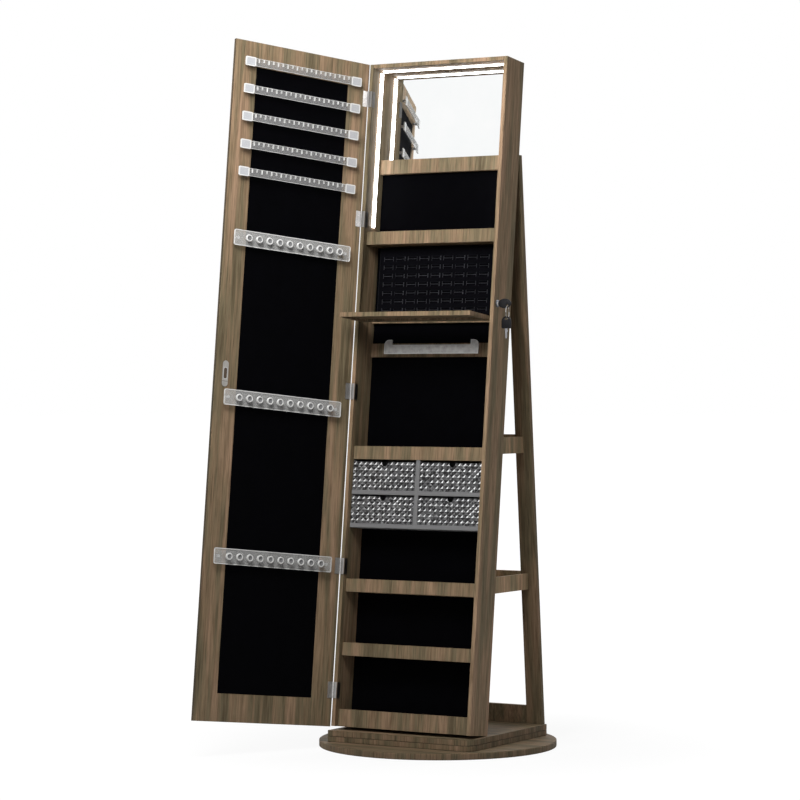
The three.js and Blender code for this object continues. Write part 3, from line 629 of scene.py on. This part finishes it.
def add_earring_clip(bm, x0, level):
    """The wider clip at one end of a comb, with the dark window and the post behind it."""
    x1 = x0 + EARRING_CLIP
    corners = rounded_outline(x0, x1, level - CLIP_HALF, level + CLIP_HALF, CLIP_CORNER, 4)
    front_plane = facing_out(EARRING_BACK)
    add_outline(bm, corners, EARRING_THICK, front_plane, 0, 1, CLIP_RIM)
    sides = (x0 + WINDOW_INSET, x1 - WINDOW_INSET, level - WINDOW_HALF, level + WINDOW_HALF)
    window_plane = facing_out(EARRING_BACK - WINDOW_BEHIND)
    add_outline(bm, rounded_outline(*sides, WINDOW_CORNER, 4), WINDOW_THICK, window_plane, 2)
    add_stud(bm, x0 + EARRING_CLIP / 2, level, FACE_OF_DOOR, EARRING_BACK - 1.6 * MM, 0)


def make_earring_bars():
    start, end = EARRING_NEAR + EARRING_CLIP, EARRING_FAR - EARRING_CLIP
    plane = facing_out(EARRING_BACK)
    for number, height in enumerate(EARRING_HEIGHTS, 1):
        level = height * MM
        bm = bmesh.new()
        add_outline(bm, comb_outline(start, end, level), EARRING_THICK, plane, 0, 1, COMB_RIM)
        node = f"earring_bar_{number}"
        finish_mesh(f"earring_comb_{number}", bm, [COMB, TICK_HIGHLIGHT], "door", "acrylic", DOOR, replaces=[node])
        bm = bmesh.new()
        for x0 in (EARRING_NEAR, end):
            add_earring_clip(bm, x0, level)
        finish_mesh(f"earring_clips_{number}", bm, [CLIP, EDGE, DISH_SHADE], "door", "acrylic", DOOR)


def make_necklace_bars():
    near, far, half = 28.9 * MM, 335.8 * MM, 17.5 * MM
    back, front = 6.6 * MM, 9.2 * MM
    first, pitch, count = 62.6 * MM, 26.6 * MM, 10
    # A knob as radius and height in millimetres: its neck and cup, then its rim and hollow top.
    neck = [(0, 8.6), (3.4, 8.6), (3.4, 11.5), (4.2, 12.4), (7.2, 13.4), (8.05, 14.4), (8.25, 15.5)]
    rim = [(8.25, 17.0), (7.9, 18.2), (7.0, 18.95), (5.9, 19.1)]
    hollow = [(5.1, 18.4), (4.6, 16.9), (0, 16.4)]
    profile = [(r * MM, h * MM) for r, h in neck + rim + hollow]
    # The hollow top takes the dark material as painted shade, the rest the bright edge material as painted
    # highlight.
    looks = [0] * (len(neck) + len(rim)) + [1] * (len(hollow) - 1)
    plane = facing_out(back)
    for number, height in enumerate(NECKLACE_HEIGHTS, 1):
        level = height * MM
        bm = bmesh.new()
        outline = rounded_outline(near, far, level - half, level + half, 4 * MM)
        add_outline(bm, outline, front - back, plane, 0, 1, 1.5 * MM)
        for x in (near + 12 * MM, far - 12 * MM):
            add_stud(bm, x, level, FACE_OF_DOOR, back - 0.1 * MM, 1)
        node = f"necklace_bar_{number}"
        finish_mesh(f"necklace_plate_{number}", bm, [SHEET, EDGE], "door", "acrylic", DOOR, replaces=[node])
        bm = bmesh.new()
        for i in range(count):
            knob = facing_out(0, Matrix.Translation((first + i * pitch, 0, level)))
            add_turned(bm, profile, knob, 32, looks)
        finish_mesh(f"necklace_knobs_{number}", bm, [EDGE, DISH_SHADE], "door", "acrylic", DOOR, smooth=50)


def make_bangle_bar():
    half, bottom, top, ear, ear_width = 122 * MM, 841.7 * MM, 862 * MM, 873.5 * MM, 20 * MM
    front, thick, rail = 46 * MM, 3 * MM, 59.7 * MM
    corner, centre = 12 * MM, -3.3 * MM
    outline = [(-half, bottom), (half, bottom)]
    outline += arc(half - corner, ear - corner, corner, 0, 90)
    outline += [(half - ear_width, ear), (half - ear_width, top), (-half + ear_width, top)]
    outline += [(-half + ear_width, ear)] + arc(-half + corner, ear - corner, corner, 90, 180)
    bm = bmesh.new()
    add_outline(bm, outline, thick, facing_out(front), 0, 1, 1.4 * MM)
    middle = (bottom + top) / 2
    for x in (-half + ear_width / 2, half - ear_width / 2):
        add_stud(bm, x, middle, front + thick + 0.1 * MM, rail, 1)
    place = CABINET @ Matrix.Translation((centre, 0, 0))
    node = "bracelet_bar"
    finish_mesh("bangle_bar_shaped", bm, [BANGLE, EDGE], "swivel", "acrylic", place, replaces=[node])


# ---- drawers ----
DRAWER_ROWS = {"upper": (530.3 * MM, 594 * MM), "lower": (455.6 * MM, 516.4 * MM)}
DRAWER_FACE, DRAWER_BACK = 13.3 * MM, 63.9 * MM
DRAWER_INNER, DRAWER_OUTER, TRAY_OUTER = 5.6 * MM, 168.7 * MM, 165.6 * MM
TRAY_START, TRAY_WALL, TRAY_DROP = 16.5 * MM, 2.5 * MM, 6 * MM
NOTCH_HALF, NOTCH_DEPTH = 8.5 * MM, 10 * MM
CUT_MARGIN, CUT_DEPTH = 2 * MM, 8 * MM
FACET_COLUMNS, FACET_ROWS = 12, 5
FACET_RISE, FACET_PLATE = 2.0 * MM, 1.0 * MM
FACET_LOWER = 0.25  # how much lower the second set of pyramids is, as a share of the rise
# Chances of the painted glint, painted light, painted half shade and painted shade facet, for the two interleaved
# sets of pyramids and for faces that lean to the upper left, the upper right, the lower left and the lower right;
# the upper left ones take the glint as if lit from there.
FACET_CHANCES = {
    (1, -1, 1): (0.95, 0.05, 0.0, 0.0),
    (1, 1, 1): (0.0, 0.3, 0.7, 0.0),
    (1, -1, -1): (0.0, 0.2, 0.7, 0.1),
    (1, 1, -1): (0.0, 0.0, 0.35, 0.65),
    (0, -1, 1): (0.03, 0.27, 0.6, 0.1),
    (0, 1, 1): (0.0, 0.1, 0.6, 0.3),
    (0, -1, -1): (0.0, 0.1, 0.6, 0.3),
    (0, 1, -1): (0.0, 0.0, 0.25, 0.75),
}


def add_facets(bm, x_range, z_range, face, draws):
    """A closed plate: two interleaved sets of four-sided pyramids over a flat back, each facet given painted
    glint, light or shade by its lean.
    """
    wide, tall = 2 * FACET_COLUMNS, 2 * FACET_ROWS
    step_x = (x_range[1] - x_range[0]) / wide
    step_z = (z_range[1] - z_range[0]) / tall
    front, rear = {}, {}
    for i in range(wide + 1):
        for j in range(tall + 1):
            x, z = x_range[0] + i * step_x, z_range[0] + j * step_z
            sunk = FACET_RISE if (i + j) % 2 else 0.0 if i % 2 else FACET_LOWER * FACET_RISE
            front[i, j] = bm.verts.new((x, face + sunk, z))
            rear[i, j] = bm.verts.new((x, face + FACET_RISE + FACET_PLATE, z))
    for i in range(wide):
        for j in range(tall):
            cell = [(i, j), (i + 1, j), (i + 1, j + 1), (i, j + 1)]
            for k, (tip_i, tip_j) in enumerate(cell):
                if (tip_i + tip_j) % 2 == 0:
                    corners = [front[cell[k - 1]], front[cell[k]], front[cell[(k + 1) % 4]]]
                    lean = (tip_i % 2, 1 if tip_i == i else -1, 1 if tip_j == j else -1)
                    look = draws.choices(range(4), FACET_CHANCES[lean])[0]
                    bm.faces.new(corners).material_index = look
            bm.faces.new([rear[corner] for corner in reversed(cell)])
    rim = [[(i, j) for i in range(wide + 1)] for j in (0, tall)]
    rim += [[(i, j) for j in range(tall + 1)] for i in (0, wide)]
    for side in rim:
        for a, b in zip(side, side[1:]):
            # The plate's sides take the painted light tone as a highlight.
            bm.faces.new((front[a], front[b], rear[b], rear[a])).material_index = 1


def notched(name, bm, materials, body, cutter_bm, **settings):
    """Finishes a mesh after taking a cutter's shape out of it."""
    cutter = linked_object(name + "_cutter", cutter_bm)
    plain = linked_object(name + "_plain", bm)
    modifier = plain.modifiers.new("notch", "BOOLEAN")
    modifier.operation = "DIFFERENCE"
    modifier.solver = "EXACT"
    modifier.object = cutter
    bpy.context.view_layer.update()
    result = bmesh.new()
    result.from_object(plain, bpy.context.evaluated_depsgraph_get())
    for item in (cutter, plain):
        mesh = item.data
        bpy.data.objects.remove(item)
        bpy.data.meshes.remove(mesh)
    return finish_mesh(name, result, materials, body, "acrylic", CABINET, **settings)


def make_drawer_front(node, x_range, low, high, draws):
    """The faceted front with its finger notch."""
    bm = bmesh.new()
    add_facets(bm, x_range, (low, high), DRAWER_FACE, draws)
    middle, above = sum(x_range) / 2, high + CUT_MARGIN
    outline = arc(middle, high - NOTCH_DEPTH + NOTCH_HALF, NOTCH_HALF, 180, 360, 12)
    outline += [(middle + NOTCH_HALF, above), (middle - NOTCH_HALF, above)]
    cutter = bmesh.new()
    add_outline(cutter, outline, CUT_DEPTH, facing_out(DRAWER_FACE - CUT_MARGIN))
    notched(f"{node}_front", bm, FACET_SHADES, node, cutter, smooth=5, replaces=[node])


def make_drawer_tray(node, x_range, low, high):
    """The plain open box behind the front."""
    (x0, x1), wall, back = x_range, TRAY_WALL, DRAWER_BACK
    start, top = TRAY_START, high - TRAY_DROP
    bm = bmesh.new()
    add_box(bm, (x0, x1), (start, back), (low, low + wall))
    add_box(bm, (x0, x0 + wall), (start, back), (low + wall, top))
    add_box(bm, (x1 - wall, x1), (start, back), (low + wall, top))
    add_box(bm, (x0 + wall, x1 - wall), (back - wall, back), (low + wall, top))
    bmesh.ops.remove_doubles(bm, verts=bm.verts, dist=SAME_POINT)
    finish_mesh(f"{node}_tray", bm, [TRAY], node, "acrylic", CABINET, smooth=5)


def make_drawers():
    draws = random.Random(11)
    for row, (low, high) in DRAWER_ROWS.items():
        for side, tag in ((-1, "left"), (1, "right")):
            node = f"drawer_{row}_{tag}"
            front_range = sorted((side * DRAWER_INNER, side * DRAWER_OUTER))
            make_drawer_front(node, front_range, low, high, draws)
            make_drawer_tray(node, sorted((side * DRAWER_INNER, side * TRAY_OUTER)), low, high)


def make_housing():
    eased("drawer_housing", HOUSING, "swivel", "housing", 0.6 * MM)


# ---- metal fittings ----
def along_x(matrix):
    """Turns +Z of a solid of revolution to +X."""
    return matrix @ Matrix.Rotation(math.pi / 2, 4, "Y")


def screw_head(bm, matrix, radius=2.6 * MM):
    """A countersunk screw whose face is proud by a hair; +Z of matrix points out."""
    profile = [(0, -0.6), (0.55, -0.6), (0.7, -0.1), (0.98, 0.12), (1.0, 0.0), (1.0, -0.9), (0, -0.9)]
    points = [(r * radius, h * MM) for r, h in profile]
    add_turned(bm, points, matrix, 20)


HINGE_HEIGHTS = (1420, 1144, 751, 357, 80)  # millimetres up the cabinet
HINGE_HALF = 18 * MM
HINGE_SCREWS = (-12 * MM, 0, 12 * MM)
LEAF_THICK = 0.8 * MM
LEAF_FACE = -168.9 * MM  # just off the left side panel's inner face
KNUCKLE_RADIUS, KNUCKLE_CHAMFER, KNUCKLE_GAP = 1.2 * MM, 0.25 * MM, 0.2 * MM
COVER_SPAN, COVER_BULGE, COVER_LIFT = (-177.2 * MM, -169.6 * MM), 1.2 * MM, 0.3 * MM


def add_hinge_leaf(bm, across, level, plane):
    leaf = rounded_outline(*across, level - HINGE_HALF, level + HINGE_HALF, 1 * MM, 3)
    add_outline(bm, leaf, LEAF_THICK, plane)


def make_door_leaf(number, level):
    bm = bmesh.new()
    add_hinge_leaf(bm, (1.6 * MM, 13 * MM), level, facing_out(FACE_OF_DOOR))
    for offset in HINGE_SCREWS:
        spot = Matrix.Translation((8 * MM, 0, level + offset))
        screw_head(bm, facing_out(FACE_OF_DOOR + LEAF_THICK, spot))
    node = f"hinge_{number}"
    finish_mesh(f"hinge_door_leaf_{number}", bm, [STEEL], "door", "steel", DOOR, replaces=[node])


def make_knuckles(number, level):
    """Five short barrels in turn: three ride on the door and two on the cabinet."""
    length = 2 * HINGE_HALF / 5
    thin = KNUCKLE_RADIUS - KNUCKLE_CHAMFER
    on_cabinet = CABINET @ Matrix.Translation((HINGE_X, HINGE_DEPTH, 0))
    for body, matrix, pieces in (("door", DOOR, (0, 2, 4)), ("swivel", on_cabinet, (1, 3))):
        bm = bmesh.new()
        for piece in pieces:
            low = level - HINGE_HALF + piece * length + KNUCKLE_GAP / 2
            high = low + length - KNUCKLE_GAP
            barrel = [(0, low), (thin, low), (KNUCKLE_RADIUS, low + KNUCKLE_CHAMFER)]
            barrel += [(KNUCKLE_RADIUS, high - KNUCKLE_CHAMFER), (thin, high), (0, high)]
            add_turned(bm, barrel, HERE, 24)
        finish_mesh(f"hinge_{body}_knuckle_{number}", bm, [STEEL], body, "steel", matrix)


def make_hinge_cover(number, level):
    """A shallow rounded cover over the hinge's spring, on the edge of the side panel."""
    middle, half = sum(COVER_SPAN) / 2, (COVER_SPAN[1] - COVER_SPAN[0]) / 2
    turns = [math.pi * i / 16 for i in range(17)]
    section = [(middle + half * math.cos(t), -COVER_BULGE * math.sin(t)) for t in turns]
    upright = Matrix.Translation((0, -COVER_LIFT, level - HINGE_HALF))
    bm = bmesh.new()
    add_outline(bm, section, 2 * HINGE_HALF, upright)
    finish_mesh(f"hinge_cover_{number}", bm, [COVER_STEEL], "swivel", "steel", CABINET, smooth=40)


def make_cabinet_leaf(number, level):
    on_side = Matrix(((0, 0, 1, LEAF_FACE), (1, 0, 0, 0), (0, 1, 0, 0), (0, 0, 0, 1)))
    bm = bmesh.new()
    add_hinge_leaf(bm, (0.6 * MM, 12.2 * MM), level, on_side)
    for offset in HINGE_SCREWS:
        spot = Matrix.Translation((LEAF_FACE + LEAF_THICK, 7 * MM, level + offset))
        screw_head(bm, along_x(spot), 2.2 * MM)
    # Its darker steel is painted shade.
    finish_mesh(f"hinge_cabinet_leaf_{number}", bm, [SHADED_STEEL], "swivel", "steel", CABINET)


def make_hinges():
    for number, height in enumerate(HINGE_HEIGHTS, 1):
        for make_piece in (make_door_leaf, make_knuckles, make_hinge_cover, make_cabinet_leaf):
            make_piece(number, height * MM)


# ---- strike plate ----
STRIKE_ALONG, STRIKE_LEVEL = 331.5 * MM, 757 * MM
STRIKE_HALF, STRIKE_RADIUS, STRIKE_THICK = 28.5 * MM, 7.5 * MM, 1.2 * MM
STRIKE_SCREWS = (-20 * MM, 20 * MM)
SLOT_LEVEL, SLOT_HALF, SLOT_RADIUS, SLOT_RIM = 758 * MM, 12 * MM, 4 * MM, 1.3 * MM
SEAM_HALF, SEAM_LOW, SEAM_HIGH = 7 * MM, 740 * MM, 740.8 * MM
SKIN, RIM_LIFT, HOLLOW_LIFT = 0.15 * MM, 0.02 * MM, 0.2 * MM


def make_strike_plate():
    sides = (STRIKE_ALONG - STRIKE_RADIUS, STRIKE_ALONG + STRIKE_RADIUS)
    ends = (STRIKE_LEVEL - STRIKE_HALF, STRIKE_LEVEL + STRIKE_HALF)
    outline = rounded_outline(*sides, *ends, STRIKE_RADIUS - 0.1 * MM, 8)
    bm = bmesh.new()
    add_outline(bm, outline, STRIKE_THICK, facing_out(FACE_OF_DOOR))
    for offset in STRIKE_SCREWS:
        spot = Matrix.Translation((STRIKE_ALONG, 0, STRIKE_LEVEL + offset))
        screw_head(bm, facing_out(FACE_OF_DOOR + STRIKE_THICK, spot))
    node = "strike_plate"
    finish_mesh("strike_plate_shaped", bm, [STRIKE_STEEL], "door", "steel", DOOR, replaces=[node])


def make_strike_slot():
    """The slot's dark hollow in its bright rim, and the dark seam line below it, as thin skins: the dark is
    painted shade, the rim a painted highlight.
    """
    face = FACE_OF_DOOR + STRIKE_THICK
    bm = bmesh.new()
    for grown, lift, index in ((SLOT_RIM, RIM_LIFT, 1), (0, HOLLOW_LIFT, 0)):
        side, reach = SLOT_RADIUS + grown, SLOT_HALF + grown
        edges = (STRIKE_ALONG - side, STRIKE_ALONG + side, SLOT_LEVEL - reach, SLOT_LEVEL + reach)
        outline = rounded_outline(*edges, side - 0.1 * MM)
        add_outline(bm, outline, SKIN, facing_out(face + lift), index)
    edges = (STRIKE_ALONG - SEAM_HALF, STRIKE_ALONG + SEAM_HALF, SEAM_LOW, SEAM_HIGH)
    seam = rounded_outline(*edges, 0.3 * MM)
    add_outline(bm, seam, SKIN, facing_out(face + RIM_LIFT))
    finish_mesh("strike_slot", bm, [SLOT_SHADE, STEEL], "door", "steel", DOOR)


# ---- lock and keys ----
LOCK_DEPTH, LOCK_LEVEL = 14.5 * MM, 948 * MM
LOCK_PLACE = Matrix.Translation((0, LOCK_DEPTH, LOCK_LEVEL))
KEY_THICK = 2.6 * MM
BLADE_SPAN, BLADE_HALF_THICK, BLADE_HALF_WIDE = (179 * MM, 184 * MM), 0.9 * MM, 3.4 * MM


def make_lock():
    """The bezel that stays, and the plug that turns with the key's blade in it."""
    # Radius in millimetres, and how far right of the cabinet's middle.
    bezel = [(4.9, 169.6), (6.4, 169.6), (6.4, 178.3), (8.4, 178.3), (8.4, 179.3)]
    bezel += [(7.6, 180.0), (5.6, 180.2), (4.9, 179.7), (4.9, 169.6)]
    bm = bmesh.new()
    add_turned(bm, [(r * MM, h * MM) for r, h in bezel], along_x(LOCK_PLACE), 48)
    bmesh.ops.remove_doubles(bm, verts=bm.verts, dist=SAME_POINT)
    finish_mesh("lock_bezel", bm, [BEZEL_STEEL], "swivel", "chrome", CABINET, replaces=["lock_body"])
    bm = bmesh.new()
    plug = [(0, 170.2), (4.5, 170.2), (4.5, 179.2), (4.0, 179.8), (0, 179.8)]
    add_turned(bm, [(r * MM, h * MM) for r, h in plug], along_x(LOCK_PLACE), 40)
    depths = (LOCK_DEPTH - BLADE_HALF_THICK, LOCK_DEPTH + BLADE_HALF_THICK)
    add_box(bm, BLADE_SPAN, depths, (LOCK_LEVEL - BLADE_HALF_WIDE, LOCK_LEVEL + BLADE_HALF_WIDE))
    finish_mesh("lock_plug_and_blade", bm, [STEEL], "key_in_lock", "chrome", CABINET)


def key_head(bm, outline, hole, thickness, matrix):
    """A flat key grip with an eye, standing in the X-Z plane."""
    outer = [bm.verts.new(Vector((x, -thickness / 2, z))) for x, z in outline]
    inner = [bm.verts.new(Vector((x, -thickness / 2, z))) for x, z in hole]
    edges = []
    for loop in (outer, inner):
        for a, b in zip(loop, loop[1:] + loop[:1]):
            edges.append(bm.edges.new((a, b)))
    bmesh.ops.triangle_fill(bm, use_beauty=True, edges=edges)
    faces = list(bm.faces)
    made = bmesh.ops.extrude_face_region(bm, geom=faces)["geom"]
    for vert in (item for item in made if isinstance(item, bmesh.types.BMVert)):
        vert.co.y += thickness
    bmesh.ops.transform(bm, matrix=matrix, verts=bm.verts)
    bmesh.ops.recalc_face_normals(bm, faces=bm.faces)


def make_key_in_lock():
    near, length, half = 181 * MM, 32 * MM, 10.6 * MM
    centre = near + length / 2
    turns = [2 * math.pi * i / 48 for i in range(48)]
    outline = [(centre + length / 2 * math.cos(t), half * math.sin(t)) for t in turns]
    eye_x, eye_z, eye_radius = 204 * MM, -5 * MM, 3 * MM
    hole = [(eye_x + eye_radius * math.cos(t), eye_z + eye_radius * math.sin(t)) for t in turns[::2]]
    bm = bmesh.new()
    key_head(bm, outline, hole, KEY_THICK, LOCK_PLACE)
    ease_edges(bm, 0.5 * MM, 2, 40)
    node = "key_in_lock"
    finish_mesh("key_grip", bm, [BLACK], node, "black_plastic", CABINET, replaces=[node])


def add_split_ring(bm, radius, wire, turns, pitch):
    """Close turns of wire about the X axis."""
    steps, sides = 96, 10
    rings = []
    for i in range(steps * turns + 1):
        angle = 2 * math.pi * i / steps
        side = (i / (steps * turns) - 0.5) * 2 * pitch
        out = Vector((0, math.cos(angle), math.sin(angle)))
        centre = radius * out + side * RIGHT
        section = [2 * math.pi * k / sides for k in range(sides)]
        points = [centre + wire * (math.cos(a) * out + math.sin(a) * RIGHT) for a in section]
        rings.append([bm.verts.new(point) for point in points])
    for low, high in zip(rings, rings[1:]):
        for k in range(sides):
            bm.faces.new((low[k], low[(k + 1) % sides], high[(k + 1) % sides], high[k]))
    bm.faces.new(rings[0][::-1])
    bm.faces.new(rings[-1])


RING_EYE = Vector(JOINTS["spare_key_swing"]["pos_m"])
RING_RADIUS, RING_WIRE, RING_PITCH = 14.3 * MM, 0.36 * MM, 0.34 * MM
RING_TURN = math.radians(15)
SPARE_PLACE = Matrix.Translation(RING_EYE - Vector((2.4 * MM, 0, 2 * RING_RADIUS)))
SPARE_HALF, SPARE_TOP, SPARE_BOTTOM, SPARE_CORNER = 11.7 * MM, 5.5 * MM, -21.4 * MM, 3 * MM
BLADE_WIDE, BLADE_NARROW, BLADE_LENGTH, BLADE_THICK = 3.5 * MM, 2 * MM, 22 * MM, 2 * MM
BLADE_TEETH = 9


def make_split_ring():
    bm = bmesh.new()
    add_split_ring(bm, RING_RADIUS, RING_WIRE, 2, RING_PITCH)
    lowered = Matrix.Translation(RING_EYE - Vector((0, 0, RING_RADIUS)))
    place = lowered @ Matrix.Rotation(RING_TURN, 4, "Z")
    finish_mesh("split_ring", bm, [CHROME], "hanging_key", "chrome", place, replaces=["key_ring"])


def make_spare_grip():
    half, corner, low = SPARE_HALF, SPARE_CORNER, SPARE_BOTTOM + SPARE_CORNER
    outline = arc(-half + corner, low, corner, 180, 270) + arc(half - corner, low, corner, 270, 360)
    outline += arc(0, SPARE_TOP - half, half, 0, 180, 24)
    slot, slot_radius = 2.3 * MM, 2.3 * MM
    hole = arc(slot, 0, slot_radius, -90, 90) + arc(-slot, 0, slot_radius, 90, 270)
    bm = bmesh.new()
    key_head(bm, outline, hole, KEY_THICK, SPARE_PLACE)
    ease_edges(bm, 0.45 * MM, 2, 40)
    finish_mesh("spare_key_grip", bm, [BLACK], "hanging_key", "black_plastic", replaces=["spare_key"])


def make_spare_blade():
    """The blade narrows to its tip, with cuts of chance depth along one edge."""
    wide, narrow, cut = BLADE_WIDE, BLADE_NARROW, 1 * MM
    shoulder, tip = SPARE_BOTTOM + 1 * MM, SPARE_BOTTOM - BLADE_LENGTH
    blade = [(-wide, shoulder), (-narrow, tip + cut), (-narrow + cut, tip), (narrow - cut, tip)]
    teeth = random.Random(5)
    for i in reversed(range(BLADE_TEETH)):
        share = (i + 1) / (BLADE_TEETH + 1)
        edge_shading = wide + (narrow - wide) * share
        blade.append((edge_shading - teeth.uniform(0.1, 1.1) * MM, SPARE_BOTTOM - BLADE_LENGTH * share))
    blade.append((wide, shoulder))
    bm = bmesh.new()
    add_outline(bm, blade, BLADE_THICK, facing_out(-BLADE_THICK / 2, SPARE_PLACE))
    finish_mesh("spare_key_blade", bm, [BLADE_STEEL], "hanging_key", "chrome")


# ---- small plain pieces ----
def make_small_pieces():
    eased("led_battery_box", BLACK, "swivel", "black_plastic", 2.2 * MM, 4)
    for node in ("bearing_lower_plate", "bearing_ball_ring", "bearing_upper_plate"):
        frame["nodes"][node].data.materials[0] = STEEL


# ---- stage ----
FLOOR_RADIUS = 60
FLOOR_GREY = (0.5, 0.5, 0.5, 1)
FLOOR_GLOW = 1.06
FLOOR_FADE = (0.3, 1.1)  # two distances from the turning axis
FLOOR_WHITE = (0.86, 1.0)  # how far the floor is plain white at those two distances
FILL = 0.16  # strength of the even light from all round
FILL_COLOUR = (1.0, 0.98, 0.96, 1)
WHITE = (1, 1, 1, 1)


def make_floor():
    """A floor that the camera sees as white, but for a faint shade near the foot."""
    bpy.ops.mesh.primitive_circle_add(vertices=96, radius=FLOOR_RADIUS, fill_type="NGON")
    floor = bpy.context.object
    floor.name = "floor"
    g = Graph("pale_floor")
    reach = g.add("VectorMath", {0: g.coordinates()}, operation="LENGTH").outputs["Value"]
    fade = {"Value": reach, "From Min": FLOOR_FADE[0], "From Max": FLOOR_FADE[1]}
    fade.update({"To Min": FLOOR_WHITE[0], "To Max": FLOOR_WHITE[1]})
    whiteness = g.add("MapRange", fade, interpolation_type="SMOOTHSTEP").outputs[0]
    near_shader = g.add("BsdfDiffuse", {"Color": FLOOR_GREY})
    white = g.add("Emission", {"Color": WHITE, "Strength": FLOOR_GLOW})
    seen = g.add("MixShader", {0: whiteness, 1: near_shader.outputs[0], 2: white.outputs[0]})
    straight = g.add("LightPath").outputs["Is Camera Ray"]
    both = g.add("MixShader", {0: straight, 1: near_shader.outputs[0], 2: seen.outputs[0]})
    floor.data.materials.append(g.show(both))


def make_world():
    """White to look at and in reflections, and a weaker even light on the surfaces."""
    g = Graph("studio", bpy.data.worlds, "OutputWorld")
    bright = g.add("Background", {"Color": WHITE, "Strength": 1.0})
    fill = g.add("Background", {"Color": FILL_COLOUR, "Strength": FILL})
    diffuse = g.add("LightPath").outputs["Is Diffuse Ray"]
    spread = g.add("MixShader", {0: diffuse, 1: bright.outputs[0], 2: fill.outputs[0]})
    bpy.context.scene.world = g.show(spread)


def area_light(name, place, target, size, power):
    """A square lamp, its power in watts, that neither the camera nor a reflection shows."""
    light = bpy.data.lights.new(name, "AREA")
    light.shape = "SQUARE"
    light.size = size
    light.energy = power
    lamp = bpy.data.objects.new(name, light)
    lamp.location = place
    lamp.rotation_euler = (Vector(target) - Vector(place)).to_track_quat("-Z", "Y").to_euler()
    lamp.visible_camera = False
    lamp.visible_glossy = False
    bpy.context.scene.collection.objects.link(lamp)


def make_lighting():
    area_light("key", (0.35, -2.1, 2.5), (0, -0.2, 1.0), 1.4, 16)
    area_light("top", (0.15, -1.35, 2.05), (-0.1, -0.25, 1.4), 0.8, 39)
    area_light("side", (-3.6, -1.6, 2.4), (0, 0, 0.9), 2.0, 60)
    area_light("back", (1.5, 4.0, 2.6), (0, 0, 0.8), 2.0, 75)


CAMERA_PLACE = (3.2434, -5.5896, 0.8191)
CAMERA_TILT, CAMERA_TURN = math.radians(90 - 0.38), math.radians(30.88)
CAMERA_LENS, CAMERA_SENSOR = 129.3, 36


def make_camera():
    camera = bpy.data.cameras.new("camera")
    camera.sensor_width = CAMERA_SENSOR
    camera.lens = CAMERA_LENS
    camera.clip_end = 100
    viewer = bpy.data.objects.new("camera", camera)
    viewer.location = CAMERA_PLACE
    viewer.rotation_euler = (CAMERA_TILT, 0, CAMERA_TURN)
    bpy.context.scene.collection.objects.link(viewer)
    bpy.context.scene.camera = viewer
    bpy.context.scene.view_settings.view_transform = "Standard"


make_camera()
make_floor()
make_world()
make_lighting()
make_wood()
make_door_edge_shade_strip()
make_disc()
make_linings()
make_lights()
make_ring_pad()
make_earring_bars()
make_necklace_bars()
make_bangle_bar()
make_drawers()
make_housing()
make_hinges()
make_strike_plate()
make_strike_slot()
make_lock()
make_key_in_lock()
make_split_ring()
make_spare_grip()
make_spare_blade()
make_small_pieces()
